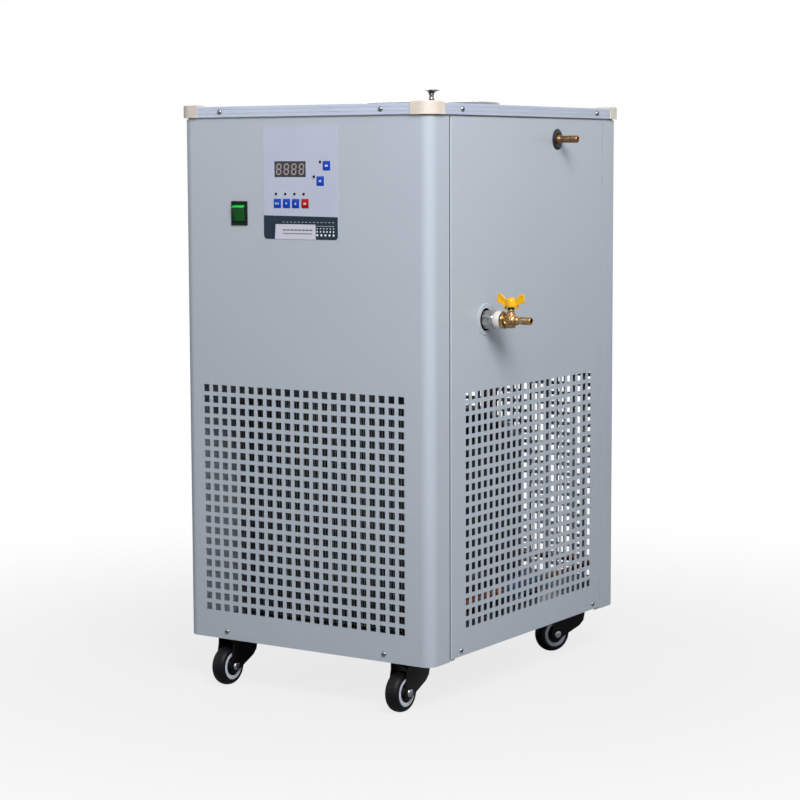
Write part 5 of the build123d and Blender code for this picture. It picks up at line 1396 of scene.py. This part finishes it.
bolt_line = [(0.0, bolt_face), (5.4, bolt_face), (5.4, 13.9), (4.6, 15.2), (2.6, 15.9), (0.0, 15.9)]
rivet_line = [(0.0, 0.0), (1.1, 0.0), (1.0, 0.8), (0.0, 1.2)]
rivet_place = (6.6, 9.9)
ring_band = (12.2, 17.2, 1)
for castor in ("front_left", "front_right", "rear_left", "rear_right"):
    swivel = Vector(joints[castor + "_swivel"]["pos_m"])
    hub_spot = Vector(joints[castor + "_roll"]["pos_m"])
    outwards = Vector((hub_spot.x - swivel.x, hub_spot.y - swivel.y, 0)).normalized()
    across = up.cross(outwards)
    foot = Vector((swivel.x, swivel.y, 0))
    shell_start = foot + across * fork_out * mm
    shell = prism(
        "fork", eased(leg_line, 1.5, closed=True), shell_start, outwards, up, 2 * fork_out, black_enamel
    )
    cut_out(shell, prism("hollow", hollow_line, foot + across * inside * mm, outwards, up, 2 * inside))
    soften(shell, edge_softness, segments=3)
    race = turned("race", eased(race_line, 0.8), foot, up, black_enamel, segments=64)
    shaft = turned("shaft", shaft_line, hub_spot, across, bolt_steel, segments=32)
    bolt = turned("bolt", eased(bolt_line, 0.5), hub_spot, across, bolt_steel, segments=40)
    lock_nut = hex_bar("nut", 6, 9.4, -16.4, -bolt_face, 0.8, hub_spot, across, bolt_steel)
    fork = join(castor + "_fork_assembly", shell, race, shaft, bolt, lock_nut)
    dress(fork, castor + "_castor", "castor_steel", castor + "_fork")
    wheel = turned(
        "wheel", wheel_line, hub_spot, across, tread_rubber, ring_grey, segments=96, closed=True,
        bands=(ring_band,),
    )
    rivets = []
    for face in (-1, 1):
        spot = hub_spot + across * face * rivet_place[0] * mm + up * rivet_place[1] * mm
        rivets.append(turned("rivet", eased(rivet_line, 0.3), spot, across * face, bolt_steel, segments=20))
    roller = join(castor + "_wheel_assembly", wheel, *rivets)
    dress(roller, castor + "_roller", "wheel_rubber", castor + "_wheel")
cover_nodes(black_enamel, "castor_plates")

# Cable gland
# Moulded black nylon: two hexagons and a domed nut that clamps the mains cord. It is screwed into a
# hole in the rear cover, and its moulded skin is slightly matt.
gland_nylon = make_finish(
    "gland_nylon", "#17181B", "#1F2024", roughness=0.4, swing=0.05, grain=1.6, relief=0.02, patch=12.0
)
cover_nodes(gland_nylon, "cable_gland")

# Refrigerant circuit
# Drawn copper tube that has dulled to brown in places, brazed to a black enamelled compressor, a
# pressed and sprayed drier and a condenser of plain aluminium fins.
copper = make_finish(
    "drawn_copper", "#B56C47", "#8A4C30",
    roughness=0.3, swing=0.08, grain=3.0, relief=0.01, metallic=1.0, patch=20.0,
)
cover_nodes(
    copper,
    "condenser_bends", "discharge_pipe", "liquid_pipe", "expansion_pipe", "suction_pipe", "evaporator_coil",
)
compressor_enamel = make_finish(
    "compressor_enamel", "#17181A", "#202124", roughness=0.36, swing=0.08, grain=5.0, relief=0.1, patch=30.0
)
cover_nodes(compressor_enamel, "compressor", "fan_motor")
fin_metal = make_finish(
    "rolled_aluminium_fin", "#A7ACB0", "#93989C",
    roughness=0.4, swing=0.08, grain=2.0, relief=0.02, metallic=1.0, stretch=(1.0, 1.0, 0.1), patch=25.0,
)
cover_nodes(fin_metal, "condenser_core", "fan_blades")
shroud_enamel = make_finish(
    "grey_enamel", "#6F767C", "#7A8187", roughness=0.42, swing=0.06, grain=3.0, relief=0.03, patch=60.0
)
cover_nodes(shroud_enamel, "fan_shroud", "circulation_pump")
drier_enamel = make_finish(
    "blue_enamel", "#2F5A85", "#2A5179", roughness=0.35, swing=0.05, grain=2.0, relief=0.02, patch=15.0
)
cover_nodes(drier_enamel, "filter_drier")

# Tank jacket and hoses
# Closed-cell foam blocks cut to fit round the tank, with a dull skin, and plain black rubber hose
# pushed over the stubs at both its ends.
foam = make_finish(
    "closed_cell_foam", "#1C1D1F", "#26272A", roughness=0.85, swing=0.06, grain=2.4, relief=0.35, patch=30.0
)
cover_nodes(foam, "insulation_jacket")
hose_rubber = make_finish(
    "black_hose_rubber", "#191A1C", "#222326", roughness=0.5, swing=0.06, grain=1.8, relief=0.03, patch=20.0
)
cover_nodes(hose_rubber, "pump_inlet_hose", "outlet_hose", "return_hose")
